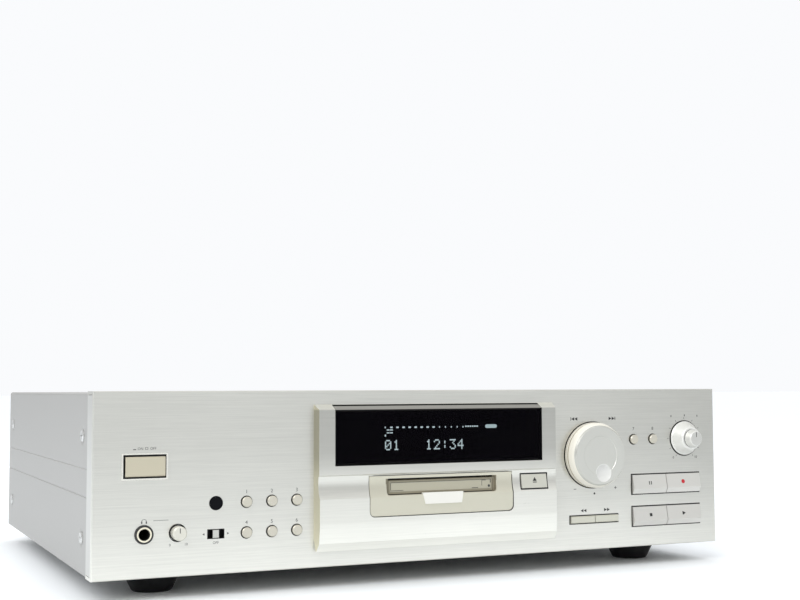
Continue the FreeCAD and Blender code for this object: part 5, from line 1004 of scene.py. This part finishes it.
@dataclass
class Display:
    """The lit display: a level scale, its bars and a row of dot-matrix figures on the tube's face."""

    text: str = "01   12:34"
    left: float = -37.0
    low: float = 70.2
    step: float = 0.93
    narrow: float = 0.88
    pitch: float = 5.72
    dot: float = 0.8
    lean: float = -0.007
    scale_pitch: float = 4.25
    scale_high: float = 84.5
    pill: Tuple[float, float, float, float] = (34.4, 43.1, 83.0, 85.4)

    def _bar(self, plates: Plates, across: float, high: float, wide: float, tall: float) -> None:
        """Add a lit bar on the slightly leaning rows."""
        plates.bar(across, high + (across - self.left) * self.lean, wide, tall)

    def build(self, dresser: Dresser) -> None:
        """Build the figures, the scale, the lit block and the black mask around the tube."""
        lit = dresser.material(Glow("phosphor", (0.72, 0.90, 0.94), 20.0))
        figures = Plates("display_figures", DECK, 0.0, 0.05)
        for place, sign in enumerate(self.text):
            for row, bits in enumerate(DOTS[sign]):
                for column in range(5):
                    if bits >> (4 - column) & 1:
                        self._bar(figures, self.left + place * self.pitch + column * self.narrow,
                                  self.low + (6 - row) * self.step + 0.4, self.dot, self.dot)
        figures.finish(lit, "tube_glass")
        self._scale(lit)
        self._block(dresser.material(Glow("phosphor_bright", (0.72, 0.93, 0.97), 15.0)))
        mask = Plates("display_mask", DECK, -3.6, 0.3)
        for across, high, wide, tall in ((-62.0, 78.5, 20.0, 32.0), (62.0, 78.5, 20.0, 32.0),
                                         (0.0, 64.0, 104.0, 3.0), (0.0, 92.5, 104.0, 4.0)):
            mask.bar(across, high, wide, tall)
        mask.finish(dresser.material(FINISHES["front_subframe"]), "frame_plastic")

    def _scale(self, lit: Material) -> None:
        """Build the level scale, its two short bars on the left and the marks at its right end."""
        scale = Plates("display_scale", DECK, 0.0, 0.05)
        for step in range(14):
            wide = 0.7 if step == 0 or step > 8 else 1.7
            self._bar(scale, self.left - 0.2 + step * self.scale_pitch, self.scale_high, wide, 1.0)
        for step in range(6):
            self._bar(scale, 20.2 + step * 1.65, self.scale_high + 0.3, 1.1, 0.9)
        for high in (82.9, 81.1):
            for step in range(2):
                self._bar(scale, -35.2 + step * 2.3, high, 1.9, 0.7)
        self._bar(scale, self.left - 0.1, 79.4, 0.9, 1.2)
        scale.finish(lit, "tube_glass")

    def _block(self, lit: Material) -> None:
        """Build the lit block with round ends."""
        left, right, low, top = self.pill
        radius = (top - low) / 2
        corners = []
        for middle, start in ((right - radius, -90.0), (left + radius, 90.0)):
            for step in range(9):
                angle = math.radians(start + 22.5 * step)
                corners.append((middle + radius * math.cos(angle), low + radius + radius * math.sin(angle)))
        block = Plates("display_block", DECK, 0.0, 0.05)
        block.prism(corners)
        block.finish(lit, "tube_glass")


@dataclass
class FlapLines:
    """The pressed frame and the small marks on the slot flap, which ride on it."""

    face: float = -4.0
    line: float = 0.28

    def build(self, dresser: Dresser) -> None:
        """Build the lines."""
        frame = Plates("flap_frame", "slot_flap", self.face, 0.05)
        for across, high, wide, tall in ((0.2, 50.0, 71.0, self.line), (-35.4, 47.6, self.line, 4.6),
                                         (-31.0, 45.0, 8.6, self.line), (35.6, 48.9, self.line * 1.6, 2.2),
                                         (29.4, 48.0, self.line, 3.8), (31.0, 49.6, 2.6, self.line),
                                         (24.4, 44.9, 4.6, self.line * 1.4)):
            frame.bar(across, high, wide, tall)
        frame.disc(34.6, 45.9, 0.85)
        frame.finish(dresser.material(INK), "flap_metallic")


@dataclass
class KnobMarks:
    """The pointer lines on the level knobs, each riding on its knob."""

    def build(self, dresser: Dresser) -> None:
        """Build the lines."""
        ink = dresser.material(INK)
        balance = Plates("balance_pointer", "balance_knob", -14.0)
        balance.bar(LEVEL_KNOBS[0], 76.2, 0.5, 3.4)
        balance.finish(ink, "knob_bright")
        phones = Plates("phones_pointer", "phones_level_knob", -6.0)
        phones.bar(PHONES_KNOB[0], 27.0, 0.45, 2.8)
        phones.finish(ink, "small_knob")


@dataclass
class FootPads:
    """The soft rings under the feet."""

    inner: float = 5.5
    outer: float = 10.8
    thick: float = 0.25
    sides: int = 48
    aside: float = 175.0
    felt: Lacquer = Lacquer("pad_felt", (0.05, 0.05, 0.05), rough=0.9, skin=1400.0, depth=0.0001)

    def build(self, dresser: Dresser) -> None:
        """Build a ring under each foot, let into its rim."""
        material = dresser.material(self.felt)
        for side, side_word in ((-1, "left"), (1, "right")):
            for depth, end_word in ((42.0, "front"), (300.0, "rear")):
                name = "foot_pad_%s_%s" % (end_word, side_word)
                self._ring(name, side * self.aside * MM, back(depth), material)

    def _ring(self, name: str, x: float, y: float, material: Material) -> None:
        """Build one ring.

        Args:
            name: Its name.
            x: Its middle's place across, in metres.
            y: Its middle's depth, in metres.
            material: Its material.
        """
        mesh = bmesh.new()
        loops: List[List[bmesh.types.BMVert]] = []
        for radius, z in ((self.inner, 0.02), (self.outer, 0.02), (self.outer + 0.2, self.thick),
                          (self.inner, self.thick)):
            loops.append([])
            for step in range(self.sides):
                angle = 2 * math.pi * step / self.sides
                loops[-1].append(mesh.verts.new((x + radius * MM * math.cos(angle),
                                                 y + radius * MM * math.sin(angle), z * MM)))
        for index, loop in enumerate(loops):
            after = loops[(index + 1) % len(loops)]
            for step in range(self.sides):
                follow = (step + 1) % self.sides
                mesh.faces.new((loop[step], loop[follow], after[follow], after[step]))
        bmesh.ops.recalc_face_normals(mesh, faces=mesh.faces)
        piece = close(name, mesh, material)
        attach(piece, DECK)
        LOG.info("built %s", name)


@dataclass
class Studio:
    """The floor, the lamps, the world and the camera."""

    eye: Tuple[float, float, float] = (-0.3625, -0.9019, 0.1216)
    yaw: float = 24.68
    pitch: float = 4.04
    roll: float = -0.0035
    lens: float = 56.78
    floor_reach: float = 30.0
    horizon: float = 0.44
    zenith: float = 0.98

    def build(self) -> None:
        """Build everything that isn't the deck."""
        self._floor()
        self._world()
        self._lamp("key", (-1.4, -1.3, 1.5), (-0.1, -0.1, 0.05), 1.5, 22.0)
        self._lamp("fill", (1.5, -1.3, 1.2), (0.1, -0.1, 0.05), 1.4, 2.0)
        self._lamp("rear", (0.2, 1.5, 1.6), (0.0, 0.0, 0.1), 1.8, 7.0)
        self._camera()

    def _floor(self) -> None:
        """Lay the floor, so wide that its edge meets the white behind it."""
        mesh = bmesh.new()
        reach = self.floor_reach
        mesh.faces.new([mesh.verts.new((x, y, 0.0)) for x, y in ((-reach, -reach), (reach, -reach),
                                                                 (reach, reach), (-reach, reach))])
        close("floor", mesh, StageFloor("floor_white").make())

    def _world(self) -> None:
        """Light the deck softly, brighter from above, and show white behind it."""
        world = bpy.data.worlds.new("studio")
        bpy.context.scene.world = world
        world.use_nodes = True
        tree = world.node_tree
        tree.nodes.clear()
        ray, place, split, rise, soft, white, mix, output = (tree.nodes.new("ShaderNode" + kind) for kind in (
            "LightPath", "TexCoord", "SeparateXYZ", "MapRange", "Background", "Background", "MixShader",
            "OutputWorld"))
        for name, value in (("From Min", 0.0), ("From Max", 0.8), ("To Min", self.horizon),
                            ("To Max", self.zenith)):
            rise.inputs[name].default_value = value
        soft.inputs["Color"].default_value = (0.98, 0.99, 1.0, 1.0)
        white.inputs["Color"].default_value = (0.955, 0.965, 0.982, 1.0)
        for source, target in ((place.outputs["Generated"], split.inputs[0]),
                               (split.outputs["Z"], rise.inputs["Value"]),
                               (rise.outputs["Result"], soft.inputs["Strength"]),
                               (ray.outputs["Is Camera Ray"], mix.inputs[0]),
                               (soft.outputs[0], mix.inputs[1]), (white.outputs[0], mix.inputs[2]),
                               (mix.outputs[0], output.inputs["Surface"])):
            tree.links.new(source, target)

    def _lamp(self, name: str, at: Sequence[float], target: Sequence[float], size: float,
              power: float) -> None:
        """Hang a square soft lamp.

        Args:
            name: Its name.
            at: Where it hangs.
            target: What it faces.
            size: The length of its side.
            power: Its power in watts.
        """
        data = bpy.data.lights.new(name, "AREA")
        data.size = size
        data.energy = power
        lamp = bpy.data.objects.new(name, data)
        lamp.location = at
        lamp.rotation_euler = (Vector(target) - Vector(at)).to_track_quat("-Z", "Y").to_euler()
        bpy.context.scene.collection.objects.link(lamp)

    def _camera(self) -> None:
        """Stand the camera where the photograph was taken from."""
        yaw = math.radians(self.yaw)
        pitch = math.radians(self.pitch)
        look = Vector((math.sin(yaw) * math.cos(pitch), math.cos(yaw) * math.cos(pitch), math.sin(pitch)))
        right = Vector((math.cos(yaw), -math.sin(yaw), 0.0))
        top = right.cross(look)
        side = right * math.cos(self.roll) + top * math.sin(self.roll)
        head = top * math.cos(self.roll) - right * math.sin(self.roll)
        data = bpy.data.cameras.new("camera")
        data.lens = self.lens
        data.sensor_width = 36.0
        data.sensor_fit = "HORIZONTAL"
        data.clip_end = 50.0
        camera = bpy.data.objects.new("camera", data)
        turn = Matrix((side, head, -look)).transposed()
        camera.matrix_world = Matrix.Translation(Vector(self.eye)) @ turn.to_4x4()
        bpy.context.scene.collection.objects.link(camera)
        bpy.context.scene.camera = camera


def main() -> None:
    """Build the whole scene in order."""
    logging.basicConfig(level=logging.INFO, format="%(message)s")
    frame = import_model()
    bpy.context.scene.view_settings.view_transform = "Standard"
    dresser = Dresser(frame)
    dresser.dress()
    for assembly in (PanelPrint(), ButtonPrint(), Display(), FlapLines(), KnobMarks(), FootPads()):
        assembly.build(dresser)
    Studio().build()


if __name__ == "__main__":
    main()
